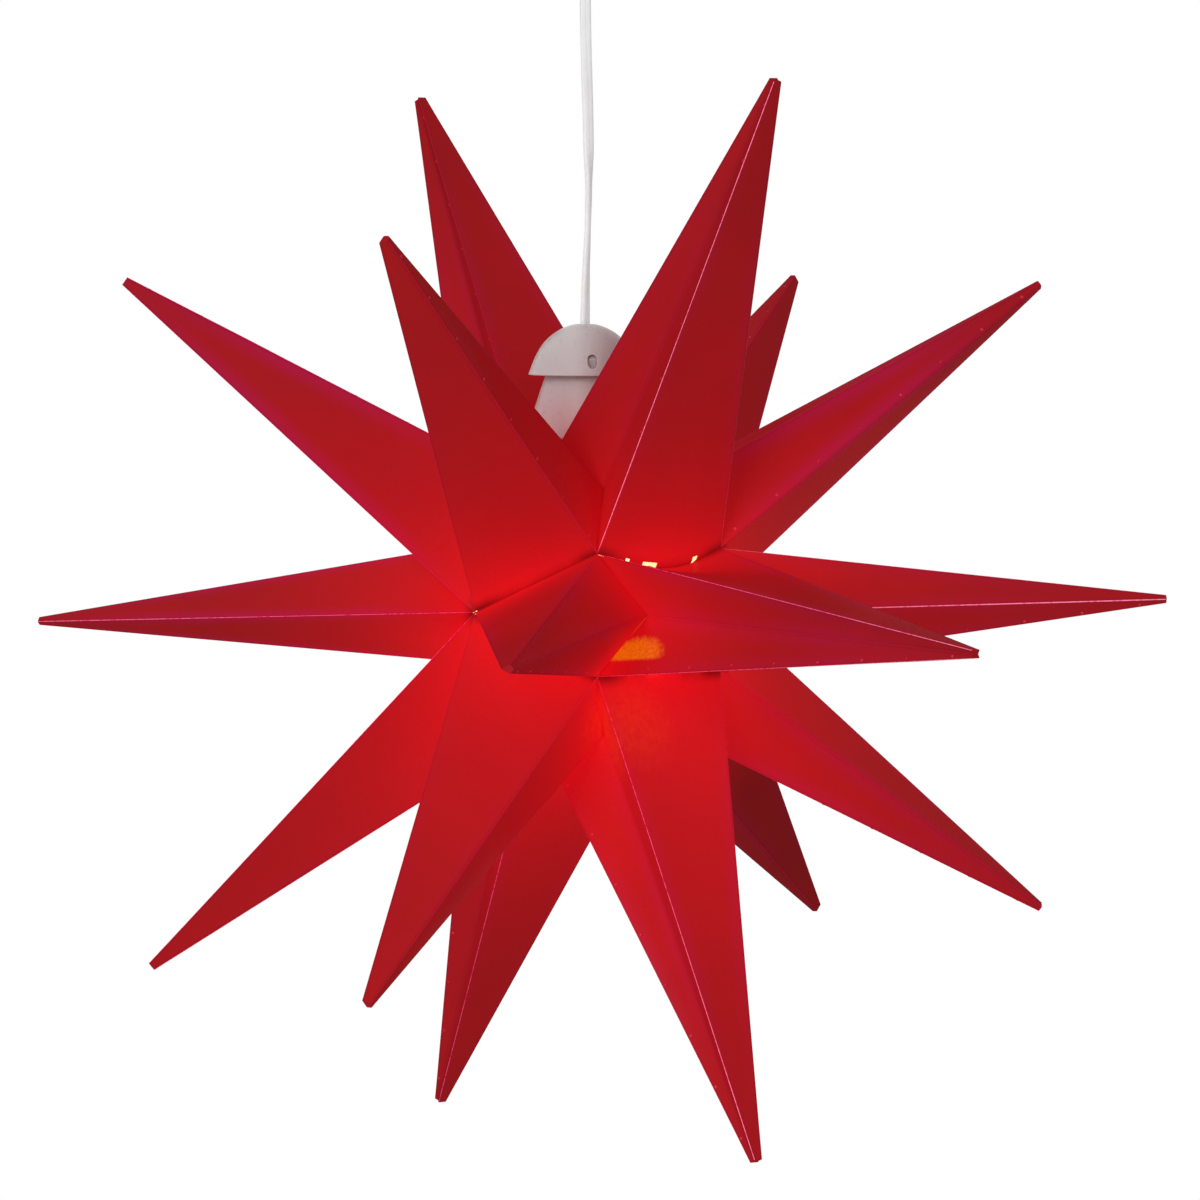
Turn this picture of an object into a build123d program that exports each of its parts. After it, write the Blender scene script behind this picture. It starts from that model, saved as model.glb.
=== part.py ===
from build123d import *
import os
from math import acos, cos, pi, radians, sin, sqrt, tan

os.makedirs("parts", exist_ok=True)

# Millimetres and degrees. The origin is the middle of the ceiling face, Z is up.
# Heights of the lamp and the star are given above the star's centre.

# The hanging star
STAR_DROP = 350.0  # ceiling to star centre
STAR_SHIFT = 6.5  # star centre beside the lamp's axis, along the seam
COLUMNS = 6
MIDDLE_REACH = 280.0  # star centre to the cut end of a middle point
OUTER_REACH = 268.0  # star centre to the cut end of a front or rear point
OUTER_LATITUDE = 46.0  # lean of the front and rear rings out of the middle ring
TIP_CUT = 16.0  # length cut off each sharp tip
SHEET = 0.6  # polypropylene sheet
CORNER_RADIUS = 57.0  # valley corners between two columns, from the Y axis
CORNER_SIDE = 36.0  # and from the middle plane
POLE_SIDE = 70.0  # where six outer points meet
GUSSET_RADIUS = 66.0  # fold between the middle and outer point of a column
GUSSET_SIDE = 20.0
HEM_DEPTH = 8.0  # flap along each seam between two columns
HEM_END = 7.0  # hem kept back from the corners
HEM_POLE_END = 11.0  # and from the poles
HEM_RIVET_LINE = 4.4  # rivets below the seam
HEM_GAP = 0.05
RIVET_SHANK = 1.5
RIVET_HEAD = 2.8
RIVET_HEAD_HEIGHT = 0.9
STUD_CAP = 3.2
STUD_HEIGHT = 1.6
MIDDLE_RIVETS = (-20.0, 20.0)  # along a middle seam
STUD_PLACES = (-25.0, 22.0)  # along the seam that opens

# How far each tip has settled: degrees round the Y axis, then degrees of latitude.
# One pair per column, at 0, 60, 120, 180, 240 and 300 degrees from X towards Z.
LEAN = {
    "front": ((-2.5, 1.5), (2, 3), (7.5, 2), (3, 0), (1, 1), (-0.5, 0)),
    "middle": ((-1, -1), (0.5, -0.5), (1, 0), (2, 0), (3.5, -0.5), (-0.5, -2.5)),
    "rear": ((2, -3.5), (3, 5), (3, 1.5), (2, 0), (5, 1), (-1.5, 4.5)),
}

# Lamp head, heights above the star's centre
DOME_RADIUS = 25.0
DOME_WALL = 1.8
DOME_TOP = 133.0
DOME_RIM = 109.0
DOME_FLARE = ((24.6, 114.1), (26.5, DOME_RIM))  # radii and heights of the flared rim
DOME_FLARE_TOP = 117.6
DOME_BORE = 4.3
DOME_BOSS = 7.0
DOME_HOLES = 4
DOME_HOLE_WIDTH = 4.6
DOME_HOLE_HEIGHT = 6.5
DOME_HOLE_LEVEL = 115.6
DOME_HOLE_START = -28.0
BELL_TOP = 112.5
BELL_FLANGE_RADIUS = 19.5
BELL_FLANGE = 2.0
BELL_WALL = 1.6
BELL_CURVE = ((17.8, 110.5), (19.4, 106.0), (21.1, 101.0), (23.4, 94.0), (25.8, 87.0), (27.9, 80.0))
LUG_REACH = 21.4
LUG_WIDTH = 4.0
LUG_HEIGHT = 6.0
NIPPLE_RADIUS = 5.0
NIPPLE_BORE = 3.2
LOCKNUT_FLATS = 14.0
LOCKNUT_HEIGHT = 3.0
GRIP_RADIUS = 7.2
GRIP_HEIGHT = 8.5
SEAL_HEIGHT = 2.0
SEAL_RADIUS = 12.0

# Lampholder, size E14
HOLDER_RADIUS = 13.6
HOLDER_BOTTOM = 43.0
HOLDER_BORE = 8.6
HOLDER_BORE_END = 72.0
HOLDER_CHAMBER = 9.0
HOLDER_TOP_WALL = 5.0
SHELL_INNER = 7.4
SHELL_OUTER = 8.3
SHELL_LENGTH = 20.0
RING_RADIUS = 24.0
RING_HEIGHT = 3.2
NOTCH_GAP = 0.5

# Light bulb, size E14
CAP_RADIUS = 6.9
CAP_LENGTH = 20.0
BULB_NECK = 42.0
BULB_NECK_RADIUS = 9.0
GLOBE_RADIUS = 22.0
GLOBE_CENTRE = 6.0
GLOBE_WALL = 1.2
GLOBE_MOUTH = 22.0
LED_COUNT = 8
LED_CIRCLE = 9.0
LED_SIZE = 2.8

# Flat twin lead
CORD_WIDTH = 5.2
CORD_THICKNESS = 2.6
CORD_ROUTE = ((0.0, 118.0), (0.1, 148.0), (2.2, 184.0), (2.3, 222.0), (0.3, 268.0), (0.0, 310.4))
LEAD_RADIUS = 1.0

# Ceiling fitting, depths below the ceiling
PLATE_RADIUS = 32.7
PLATE = 3.0
SCREW_SPACING = 40.0
SCREW_HOLE = 2.25
CUP_RADIUS = 35.5
CUP_WALL = 2.2
CUP_DEPTH = 38.0
CUP_FLOOR = 2.5
CUP_EDGE = 9.0
CUP_LEDGE = 30.5
PIVOT_DEPTH = 34.0
KNOT_RADIUS = 6.5
PLAY = 0.3
GLAND_RADIUS = 9.0
GLAND_FLANGE = 13.0
GLAND_BOTTOM = 48.0
GLAND_THROAT = 4.6
GLAND_MOUTH = 7.6
BLOCK = (24.0, 12.0, 12.0)

STAR = Vector(0, STAR_SHIFT, -STAR_DROP)
written = []


def save(name, shape):
    """Write one node of the model as a STEP file."""
    solids = list(shape.solids())
    whole = solids[0] if len(solids) == 1 else Compound(children=solids)
    whole.label = name
    export_step(whole, f"parts/{name}.step")
    written.append((name, len(solids), sum(solid.volume for solid in solids)))


def level(height):
    """Height above the star's centre as a height in the part's frame."""
    return height - STAR_DROP


def turned(outline):
    """Solid turned about the Z axis from (radius, z) points."""
    profile = make_face(Plane.XZ * Polyline(*outline, close=True))
    return revolve(profile, axis=Axis.Z)


def pipe(outer, inner, bottom, top):
    """Upright tube between two heights."""
    return turned(((inner, bottom), (outer, bottom), (outer, top), (inner, top)))


def rod(radius, bottom, top, x=0.0, y=0.0):
    """Upright round bar between two heights."""
    middle = (bottom + top) / 2
    return Pos(x, y, middle) * Cylinder(radius, top - bottom)


def around(degree, along, radius):
    """Point of the star at a turn about Y, a place along Y and a distance from Y."""
    turn = radians(degree)
    return STAR + Vector(radius * cos(turn), along, radius * sin(turn))


def towards(degree, latitude, reach):
    """Point of the star at a turn about Y, a latitude and a distance from the centre."""
    rise = radians(latitude)
    return around(degree, reach * sin(rise), reach * cos(rise))


def corner(column, side):
    """Valley corner after a column, on the front (-1) or the rear (1) side."""
    return around(60 * column + 30, side * CORNER_SIDE, CORNER_RADIUS)


def gusset(column, side):
    """Inner fold between the middle point of a column and its outer point."""
    return around(60 * column, side * GUSSET_SIDE, GUSSET_RADIUS)


def pole(side):
    """Where the six points of the front or the rear ring meet."""
    return STAR + Vector(0, side * POLE_SIDE, 0)


def middle_ring(column):
    """Foot of a middle point, going round it."""
    before = column - 1
    return [
        corner(column, -1),
        corner(column, 1),
        gusset(column, 1),
        corner(before, 1),
        corner(before, -1),
        gusset(column, -1),
    ]


def outer_ring(column, side):
    """Foot of a front or rear point, going round it."""
    return [corner(column, side), pole(side), corner(column - 1, side), gusset(column, side)]


def triangle(a, b, c):
    """Flat three-cornered face."""
    return Face(Wire.make_polygon([a, b, c], close=True))


def tent(apex, foot, floor):
    """Closed solid of flat faces from a foot line up to an apex and down to a floor point."""
    faces = []
    for first, second in zip(foot, foot[1:] + foot[:1]):
        faces.append(triangle(apex, first, second))
        faces.append(triangle(floor, second, first))
    solid = Solid(Shell(faces))
    return solid if solid.volume > 0 else Solid(Shell([-face for face in faces]))


def face_slope(apex, first, second, axis):
    """Sine of the angle between a point's axis and one of its faces."""
    normal = (first - apex).cross(second - apex).normalized()
    return abs(normal.dot(axis))


def folded_point(sharp, foot, reach):
    """Hollow point of folded sheet, open at the foot and at its cut tip."""
    axis = (STAR - sharp).normalized()
    pairs = list(zip(foot, foot[1:] + foot[:1]))
    sink = SHEET / min(face_slope(sharp, a, b, axis) for a, b in pairs)
    inner = sharp + axis * sink
    spread = [inner + (spot - sharp) * 1.7 for spot in foot]
    hollow = tent(inner, spread, inner + (STAR - sharp) * 1.7)
    shell = tent(sharp, foot, STAR) - hollow
    end = STAR - axis * (reach + 50)
    block = Plane(end, z_dir=-axis) * Box(80, 80, 100)
    return shell - block


def seam_frame(first, second, inside):
    """Plane of a seam: x along it, y away from the centre, z into the named side."""
    middle = (first + second) * 0.5
    along = (second - first).normalized()
    outward = middle - STAR
    outward = (outward - along * outward.dot(along)).normalized()
    normal = along.cross(outward)
    if normal.dot(inside - STAR) < 0:
        along = -along
    return Plane(middle, x_dir=along, z_dir=along.cross(outward))


def hem(first, second, inside, second_end):
    """Flap along a seam, on one side of the seam's plane."""
    frame = seam_frame(first, second, inside)
    flip = 1 if frame.x_dir.dot(second - first) > 0 else -1
    length = (second - first).length - HEM_END - second_end
    middle = flip * (HEM_END - second_end) / 2
    return frame * (Pos(middle, -HEM_DEPTH / 2, HEM_GAP + SHEET / 2) * Box(length, HEM_DEPTH, SHEET))


def rivet_at(first, second, inside, along, head, height, shank):
    """Rivet through the two hems of a seam."""
    frame = seam_frame(first, second, inside)
    low = HEM_GAP + SHEET
    body = Cylinder(shank, 2 * low)
    cap = Pos(0, 0, low + height / 2) * Cylinder(head, height)
    foot = Pos(0, 0, -low - height / 2) * Cylinder(head, height)
    return frame * (Pos(along, -HEM_RIVET_LINE, 0) * (body + cap + foot))


def rivet_hole(first, second, inside, along, shank):
    """Hole for a rivet through both hems of a seam."""
    frame = seam_frame(first, second, inside)
    return frame * (Pos(along, -HEM_RIVET_LINE, 0) * Cylinder(shank + 0.05, 6))


def seams_of(ring, column):
    """Seams of a point with its neighbours in the next and the previous column."""
    before = column - 1
    if ring == "middle":
        return [
            (corner(column, -1), corner(column, 1), MIDDLE_RIVETS, column),
            (corner(before, -1), corner(before, 1), MIDDLE_RIVETS, before),
        ]
    side = -1 if ring == "front" else 1
    return [
        (corner(column, side), pole(side), (0.0,), None),
        (corner(before, side), pole(side), (0.0,), None),
    ]


# The seam between the columns at 60 and 120 degrees opens and takes the lamp.
OPEN_SEAM = 1


def bell_fill(extra):
    """Filled bell of the lamp's neck, with its radii changed by a given amount."""
    curve = [(radius + extra, level(height)) for radius, height in BELL_CURVE]
    narrow, top = curve[0]
    wide, bottom = curve[-1]
    lines = [
        Spline(*curve),
        Line((wide, bottom), (0, bottom)),
        Line((0, bottom), (0, top)),
        Line((0, top), (narrow, top)),
    ]
    outline = Curve() + lines
    return revolve(make_face(Plane.XZ * outline), axis=Axis.Z)


bell_rim = level(BELL_CURVE[-1][1])
bell_room = bell_fill(NOTCH_GAP)
bell_room += rod(BELL_CURVE[-1][0] + NOTCH_GAP, bell_rim - NOTCH_GAP, bell_rim)
holder_room = rod(HOLDER_RADIUS + 1.2, level(HOLDER_BOTTOM), level(BELL_TOP))

# Star
rivets = {"front": [], "middle": [], "rear": []}
studs = []
for ring, side in (("front", -1), ("middle", 0), ("rear", 1)):
    for column in range(COLUMNS):
        turn, rise = LEAN[ring][column]
        reach = OUTER_REACH if side else MIDDLE_REACH
        sharp = towards(60 * column + turn, side * OUTER_LATITUDE + rise, reach + TIP_CUT)
        foot = outer_ring(column, side) if side else middle_ring(column)
        point = folded_point(sharp, foot, reach)
        for first, second, places, seam in seams_of(ring, column):
            point += hem(first, second, sharp, HEM_POLE_END if side else HEM_END)
            used = STUD_PLACES if seam == OPEN_SEAM else places
            frame = seam_frame(first, second, sharp)
            flip = 1 if frame.x_dir.dot(second - first) > 0 else -1
            for place in used:
                point -= rivet_hole(first, second, sharp, place * flip, RIVET_SHANK)
        if ring == "middle" and column in (OPEN_SEAM, OPEN_SEAM + 1):
            point = point - bell_room - holder_room
        save(f"{ring}_point_{column + 1}", point)
        first, second, places, seam = seams_of(ring, column)[0]
        if seam == OPEN_SEAM:
            for place in STUD_PLACES:
                studs.append(rivet_at(first, second, sharp, place, STUD_CAP, STUD_HEIGHT, RIVET_SHANK))
        else:
            for place in places:
                head = (RIVET_HEAD, RIVET_HEAD_HEIGHT, RIVET_SHANK)
                rivets[ring].append(rivet_at(first, second, sharp, place, *head))

for ring, group in rivets.items():
    save(f"{ring}_seam_rivets", Compound(children=[piece.solid() for piece in group]))
save("seam_press_studs", Compound(children=[piece.solid() for piece in studs]))

# Bell, with the flange and the lugs that guide the dome
flange = pipe(BELL_FLANGE_RADIUS, NIPPLE_RADIUS + 0.1, level(BELL_TOP - BELL_FLANGE), level(BELL_TOP))
neck_bell = bell_fill(0) - bell_fill(-BELL_WALL) + flange
for index in range(DOME_HOLES):
    swing = Rot(0, 0, DOME_HOLE_START + index * 360 / DOME_HOLES)
    inner = 14.0
    lug = Box(LUG_REACH - inner, LUG_WIDTH, LUG_HEIGHT)
    trim = Pos(LUG_REACH - inner, 0, LUG_HEIGHT / 2 + 0.8) * Rot(0, 38, 0) * Box(8, 8, 5)
    post = Pos((LUG_REACH + inner) / 2 - 1.2, 0, level(BELL_TOP) + LUG_HEIGHT / 2) * (lug - trim)
    neck_bell += swing * post
save("neck_bell", neck_bell)

# Dome
ball_level = level(DOME_TOP - DOME_RADIUS)
ball = Pos(0, 0, ball_level) * Sphere(DOME_RADIUS)
inside = Pos(0, 0, ball_level) * Sphere(DOME_RADIUS - DOME_WALL)
below = pipe(2 * DOME_RADIUS, 0, ball_level - 2 * DOME_RADIUS, level(DOME_FLARE_TOP))
flare_rise = DOME_FLARE_TOP - (DOME_TOP - DOME_RADIUS)
outer_start = sqrt(DOME_RADIUS**2 - flare_rise**2)
inner_start = sqrt((DOME_RADIUS - DOME_WALL) ** 2 - flare_rise**2)
skirt = [(outer_start, level(DOME_FLARE_TOP))]
skirt += [(radius, level(height)) for radius, height in DOME_FLARE]
skirt += [(radius - DOME_WALL, level(height)) for radius, height in reversed(DOME_FLARE)]
skirt.append((inner_start, level(DOME_FLARE_TOP)))
dome = ball - inside - below + turned(skirt)
grip_top = BELL_TOP + LOCKNUT_HEIGHT + GRIP_HEIGHT
boss = rod(DOME_BOSS, level(grip_top), level(DOME_TOP - 2 * DOME_WALL))
boss = boss + (rod(DOME_BOSS, level(DOME_TOP - 4), level(DOME_TOP)) & ball)
dome = dome + boss - rod(DOME_BORE, level(DOME_RIM), level(DOME_TOP + 5))
slot = extrude(SlotOverall(DOME_HOLE_HEIGHT, DOME_HOLE_WIDTH), 20)
for index in range(DOME_HOLES):
    swing = Rot(0, 0, DOME_HOLE_START + index * 360 / DOME_HOLES)
    dome -= swing * Pos(15, 0, level(DOME_HOLE_LEVEL)) * Rot(0, 90, 0) * slot
save("dome_cap", dome)

# Cord grip and what clamps the lampholder
grip_floor = BELL_TOP + LOCKNUT_HEIGHT
nipple_bottom = BELL_TOP - BELL_FLANGE - SEAL_HEIGHT - HOLDER_TOP_WALL
nipple_top = grip_floor + 2.2
save("threaded_nipple", pipe(NIPPLE_RADIUS, NIPPLE_BORE, level(nipple_bottom), level(nipple_top)))
hexagon = RegularPolygon(LOCKNUT_FLATS / 2, 6, major_radius=False)
nut = Pos(0, 0, level(BELL_TOP)) * extrude(hexagon, LOCKNUT_HEIGHT)
save("locknut", nut - rod(NIPPLE_RADIUS + 0.1, level(BELL_TOP - 1), level(grip_floor + 1)))
grip = rod(GRIP_RADIUS, level(grip_floor), level(grip_top))
grip -= rod(NIPPLE_RADIUS + 0.1, level(grip_floor - 1), level(nipple_top + 0.1))
throat = SlotOverall(CORD_WIDTH + 0.4, CORD_THICKNESS + 0.4)
grip -= Pos(0, 0, level(nipple_top)) * Rot(0, 0, 90) * extrude(throat, GRIP_HEIGHT)
screw_level = level(grip_top - 2.6)
grip -= Pos(GRIP_RADIUS / 2 + 1, 0, screw_level) * Rot(0, 90, 0) * Cylinder(1.3, GRIP_RADIUS)
save("cord_grip", grip)
tip = CORD_THICKNESS / 2 + 0.05
screw = Pos((tip + GRIP_RADIUS) / 2, 0, screw_level) * Rot(0, 90, 0) * Cylinder(1.25, GRIP_RADIUS - tip)
head_level = Pos(GRIP_RADIUS + 0.7, 0, screw_level) * Rot(0, 90, 0)
screw += head_level * (Cylinder(2.2, 1.4) - Pos(0, 0, 0.5) * Box(0.6, 5, 0.6))
save("grip_screw", screw)
seal_top = BELL_TOP - BELL_FLANGE
holder_top = seal_top - SEAL_HEIGHT
save("holder_seal", pipe(SEAL_RADIUS, NIPPLE_RADIUS + 0.1, level(holder_top), level(seal_top)))

# Lampholder
chamber_floor = HOLDER_BORE_END + 4
chamber_top = holder_top - HOLDER_TOP_WALL
holder = rod(HOLDER_RADIUS, level(HOLDER_BOTTOM), level(holder_top))
holder -= rod(HOLDER_BORE, level(HOLDER_BOTTOM - 1), level(HOLDER_BORE_END))
holder -= rod(HOLDER_CHAMBER, level(chamber_floor), level(chamber_top))
holder -= rod(NIPPLE_RADIUS + 0.1, level(chamber_top - 1), level(holder_top + 1))
for offset_x in (-4.0, 4.0):
    holder -= rod(LEAD_RADIUS + 0.1, level(HOLDER_BORE_END - 1), level(chamber_floor + 1), offset_x)
save("lampholder_body", holder)
shell = pipe(SHELL_OUTER, SHELL_INNER, level(HOLDER_BORE_END - SHELL_LENGTH), level(HOLDER_BORE_END))
crown_hole = 3.2
crown = pipe(SHELL_OUTER, crown_hole, level(HOLDER_BORE_END - 0.8), level(HOLDER_BORE_END))
save("screw_shell", shell + crown)
contact = rod(2.4, level(HOLDER_BORE_END - 4.0), level(HOLDER_BORE_END - 1.2))
contact += rod(1.6, level(HOLDER_BORE_END - 2.0), level(HOLDER_BORE_END))
save("centre_contact", contact)
ring_top = CORNER_RADIUS - HEM_DEPTH - PLAY
ring = pipe(RING_RADIUS, HOLDER_RADIUS + PLAY, level(ring_top - RING_HEIGHT), level(ring_top))
grips = 24
for index in range(grips):
    ring -= Rot(0, 0, index * 360 / grips) * rod(0.8, level(20), level(60), RING_RADIUS + 0.1)
save("shade_ring", ring)

# Leads from the cord to the holder's two contacts
leads = []
cord_foot = CORD_ROUTE[0][1]
for side in (-1, 1):
    top_end = Vector(0, side * 1.3, level(cord_foot))
    straight = Vector(0, side * 1.3, level(chamber_top - 1))
    bent = Vector(side * 4.0, side * 0.6, level(chamber_floor + 9))
    low_end = Vector(side * 4.0, side * 0.6, level(chamber_floor))
    path = FilletPolyline(top_end, straight, bent, low_end, radius=4)
    lead = sweep(Plane(top_end, z_dir=(0, 0, -1)) * Circle(LEAD_RADIUS), path=path)
    leads.append(lead.solid())
save("holder_leads", Compound(children=leads))

# Bulb
contact_top = HOLDER_BORE_END - 4.0 - PLAY
cap_top = contact_top - 5.5
cap_bottom = cap_top - CAP_LENGTH
thread = [(0, level(cap_bottom)), (CAP_RADIUS, level(cap_bottom))]
pitch = 2.8
ridges = int((CAP_LENGTH - 3) / pitch)
for index in range(ridges):
    start = cap_bottom + 2.0 + index * pitch
    thread.append((CAP_RADIUS - 0.7, level(start)))
    thread.append((CAP_RADIUS, level(start + pitch / 2)))
thread.append((CAP_RADIUS - 0.7, level(start + pitch)))
thread.append((CAP_RADIUS - 0.9, level(cap_top)))
thread.append((0, level(cap_top)))
save("bulb_screw_cap", turned(thread))
glass = turned(
    (
        (0, level(cap_top)),
        (CAP_RADIUS - 1.2, level(cap_top)),
        (3.0, level(contact_top - 1.2)),
        (0, level(contact_top - 1.2)),
    )
)
save("bulb_insulator", glass)
save("bulb_tip_contact", rod(2.3, level(contact_top - 1.2), level(contact_top)))
mouth_radius = sqrt(GLOBE_RADIUS**2 - (GLOBE_MOUTH - GLOBE_CENTRE) ** 2)
body = turned(
    (
        (0, level(cap_bottom)),
        (CAP_RADIUS + 0.4, level(cap_bottom)),
        (CAP_RADIUS + 0.4, level(BULB_NECK)),
        (BULB_NECK_RADIUS, level(BULB_NECK - 1.5)),
        (BULB_NECK_RADIUS + 2.2, level(BULB_NECK - 9)),
        (mouth_radius, level(GLOBE_MOUTH + 1)),
        (mouth_radius, level(GLOBE_MOUTH)),
        (0, level(GLOBE_MOUTH)),
    )
)
save("bulb_body", body)
globe = Pos(0, 0, level(GLOBE_CENTRE)) * (Sphere(GLOBE_RADIUS) - Sphere(GLOBE_RADIUS - GLOBE_WALL))
globe -= Pos(0, 0, level(GLOBE_MOUTH) + 20) * Box(80, 80, 40)
save("bulb_globe", globe)
board_bottom = GLOBE_MOUTH - 1.6
board_radius = LED_CIRCLE + 3.4
save("led_board", rod(board_radius, level(board_bottom), level(GLOBE_MOUTH)))
chips = []
for index in range(LED_COUNT):
    place = Rot(0, 0, index * 360 / LED_COUNT) * Pos(LED_CIRCLE, 0, level(board_bottom - 0.4))
    chips.append((place * Box(LED_SIZE, LED_SIZE, 0.8)).solid())
save("led_chips", Compound(children=chips))

# Cord: a flat lead hanging taut, with the slight waves of its packing
points = [Vector(0, along, level(height)) for along, height in CORD_ROUTE]
radii = []
for before, here, after in zip(points, points[1:], points[2:]):
    into = here - before
    out = after - here
    turn = acos(max(-1.0, min(1.0, into.normalized().dot(out.normalized()))))
    radii.append(0.45 * min(into.length, out.length) / tan(turn / 2))
path = FilletPolyline(*points, radius=radii)
section = Plane(points[0], x_dir=(0, 1, 0), z_dir=points[1] - points[0]) * SlotOverall(
    CORD_WIDTH, CORD_THICKNESS
)
cord = sweep(section, path=path)
knot_flat = STAR_DROP - CORD_ROUTE[-1][1] + 0.3
for trim in (level(cord_foot) - 5, -knot_flat + 5):
    cord -= Pos(0, 0, trim) * Box(20, 20, 10)
save("cord", cord)
slot_area = CORD_THICKNESS * (CORD_WIDTH - CORD_THICKNESS) + pi * CORD_THICKNESS**2 / 4
print("cord arc radii", [round(radius) for radius in radii])
print("cord volume", round(cord.volume, 1), "section x length", round(slot_area * path.length, 1))

# Knot that carries the cord in the ceiling fitting
knot = Pos(0, 0, -PIVOT_DEPTH) * Sphere(KNOT_RADIUS)
knot -= Pos(0, 0, -knot_flat - 5) * Box(20, 20, 10)
save("cord_knot", knot)

# Ceiling fitting
plate = rod(PLATE_RADIUS, -PLATE, 0)
lug_length = 8.0
for side in (-1, 1):
    plate -= rod(SCREW_HOLE, -PLATE - 1, 1, side * SCREW_SPACING / 2)
    lug = Pos(0, side * 26.0, -PLATE - 6) * Box(10, lug_length, 12)
    plate += lug - Pos(0, side * 26.0, -PLATE - 7) * Rot(90, 0, 0) * Cylinder(1.45, 20)
save("ceiling_plate", plate)
cup = rod(CUP_RADIUS, -CUP_DEPTH, -PLAY)
cup = fillet(cup.edges().group_by(Axis.Z)[0], CUP_EDGE)
room = rod(CUP_RADIUS - CUP_WALL, -CUP_DEPTH + CUP_FLOOR, 1)
room = fillet(room.edges().group_by(Axis.Z)[0], CUP_EDGE - CUP_WALL)
ledge = pipe(CUP_RADIUS - CUP_WALL + 0.5, CUP_LEDGE, -PLATE - 3, -PLATE)
cup = cup - room + ledge - rod(GLAND_RADIUS + 0.1, -60, 0)
cup -= Pos(0, 0, -PLATE - 7) * Rot(90, 0, 0) * Cylinder(1.5, 100)
save("ceiling_cup", cup)
flange_top = CUP_DEPTH - CUP_FLOOR - 4.0
seat = KNOT_RADIUS + PLAY
throat_depth = PIVOT_DEPTH + sqrt(seat**2 - GLAND_THROAT**2)
gland = rod(GLAND_RADIUS, -GLAND_BOTTOM, -CUP_DEPTH + CUP_FLOOR)
gland += rod(GLAND_FLANGE, -CUP_DEPTH + CUP_FLOOR, -flange_top)
gland -= Pos(0, 0, -PIVOT_DEPTH) * Sphere(seat)
gland -= turned(
    (
        (0, -PIVOT_DEPTH),
        (GLAND_THROAT, -PIVOT_DEPTH),
        (GLAND_THROAT, -throat_depth - 0.5),
        (GLAND_MOUTH, -GLAND_BOTTOM),
        (GLAND_MOUTH, -GLAND_BOTTOM - 2),
        (0, -GLAND_BOTTOM - 2),
    )
)
save("cord_gland", gland)
block = Pos(0, 0, -PLATE - BLOCK[2] / 2) * Box(*BLOCK)
clamps = []
supply = []
for side in (-1, 1):
    x = side * BLOCK[0] / 4
    block -= rod(1.9, -PLATE - BLOCK[2] - 1, -PLATE - 3, x)
    block -= Pos(x, -BLOCK[1] / 4, -PLATE - 6) * Rot(90, 0, 0) * Cylinder(1.6, BLOCK[1] / 2 + 1)
    clamp = Pos(x, -4.4, -PLATE - 6) * Rot(90, 0, 0)
    clamps.append((clamp * (Cylinder(1.5, 3.2) - Pos(0, 0, 1.6) * Box(0.6, 4, 1.4))).solid())
    start = Vector(x, 0, -PLATE - 5)
    bend_high = Vector(x, 0, -PLATE - BLOCK[2] - 2.5)
    bend_low = Vector(side * 1.5, 0, -PLATE - BLOCK[2] - 7)
    rest = PIVOT_DEPTH - sqrt(KNOT_RADIUS**2 - 0.5**2) - PLAY
    finish = Vector(side * 1.5, 0, -rest)
    path = FilletPolyline(start, bend_high, bend_low, finish, radius=1.5)
    wire = sweep(Plane(start, z_dir=(0, 0, -1)) * Circle(LEAD_RADIUS), path=path)
    supply.append(wire.solid())
save("terminal_block", block)
save("terminal_screws", Compound(children=clamps))
save("ceiling_leads", Compound(children=supply))
cup_screws = []
for side in (-1, 1):
    outward = Pos(0, side * (CUP_RADIUS - 4.5), -PLATE - 7) * Rot(-side * 90, 0, 0)
    shank = outward * Cylinder(1.4, 9.0)
    head = Pos(0, side * (CUP_RADIUS + 0.9), -PLATE - 7) * Rot(-side * 90, 0, 0)
    drive = Pos(0, 0, 0.7) * Box(0.7, 8, 0.8)
    cup_screws.append((shank + head * (Cylinder(2.6, 1.8) - drive)).solid())
save("cup_screws", Compound(children=cup_screws))

for name, count, volume in written:
    print(name, count, round(volume, 1))
print("nodes", len(written))
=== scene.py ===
import math
import random

import bmesh
import bpy
import numpy as np
from mathutils import Matrix, Vector


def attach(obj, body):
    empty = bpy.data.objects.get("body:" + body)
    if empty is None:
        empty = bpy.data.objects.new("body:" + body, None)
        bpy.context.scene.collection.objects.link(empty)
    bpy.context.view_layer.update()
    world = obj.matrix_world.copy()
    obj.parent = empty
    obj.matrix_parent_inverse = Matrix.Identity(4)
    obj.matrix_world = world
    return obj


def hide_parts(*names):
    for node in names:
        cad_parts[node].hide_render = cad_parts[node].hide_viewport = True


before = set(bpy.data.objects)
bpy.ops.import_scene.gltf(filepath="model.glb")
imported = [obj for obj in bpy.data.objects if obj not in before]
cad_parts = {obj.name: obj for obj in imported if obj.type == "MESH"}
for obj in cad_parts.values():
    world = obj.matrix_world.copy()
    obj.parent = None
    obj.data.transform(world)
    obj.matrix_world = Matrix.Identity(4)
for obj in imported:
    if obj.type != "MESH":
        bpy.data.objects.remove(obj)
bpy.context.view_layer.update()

bl_info = {
    "name": "Hanging star lamp",
    "version": (1, 0, 0),
    "blender": (4, 5, 0),
    "location": "View3D > Sidebar > Star lamp",
    "description": "Folded red sheet star on a flat lead, with its cap, bulb and ceiling fitting",
    "category": "Add Mesh",
}

RINGS = (("front", -1), ("middle", 0), ("rear", 1))
COLUMNS = 6
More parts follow.
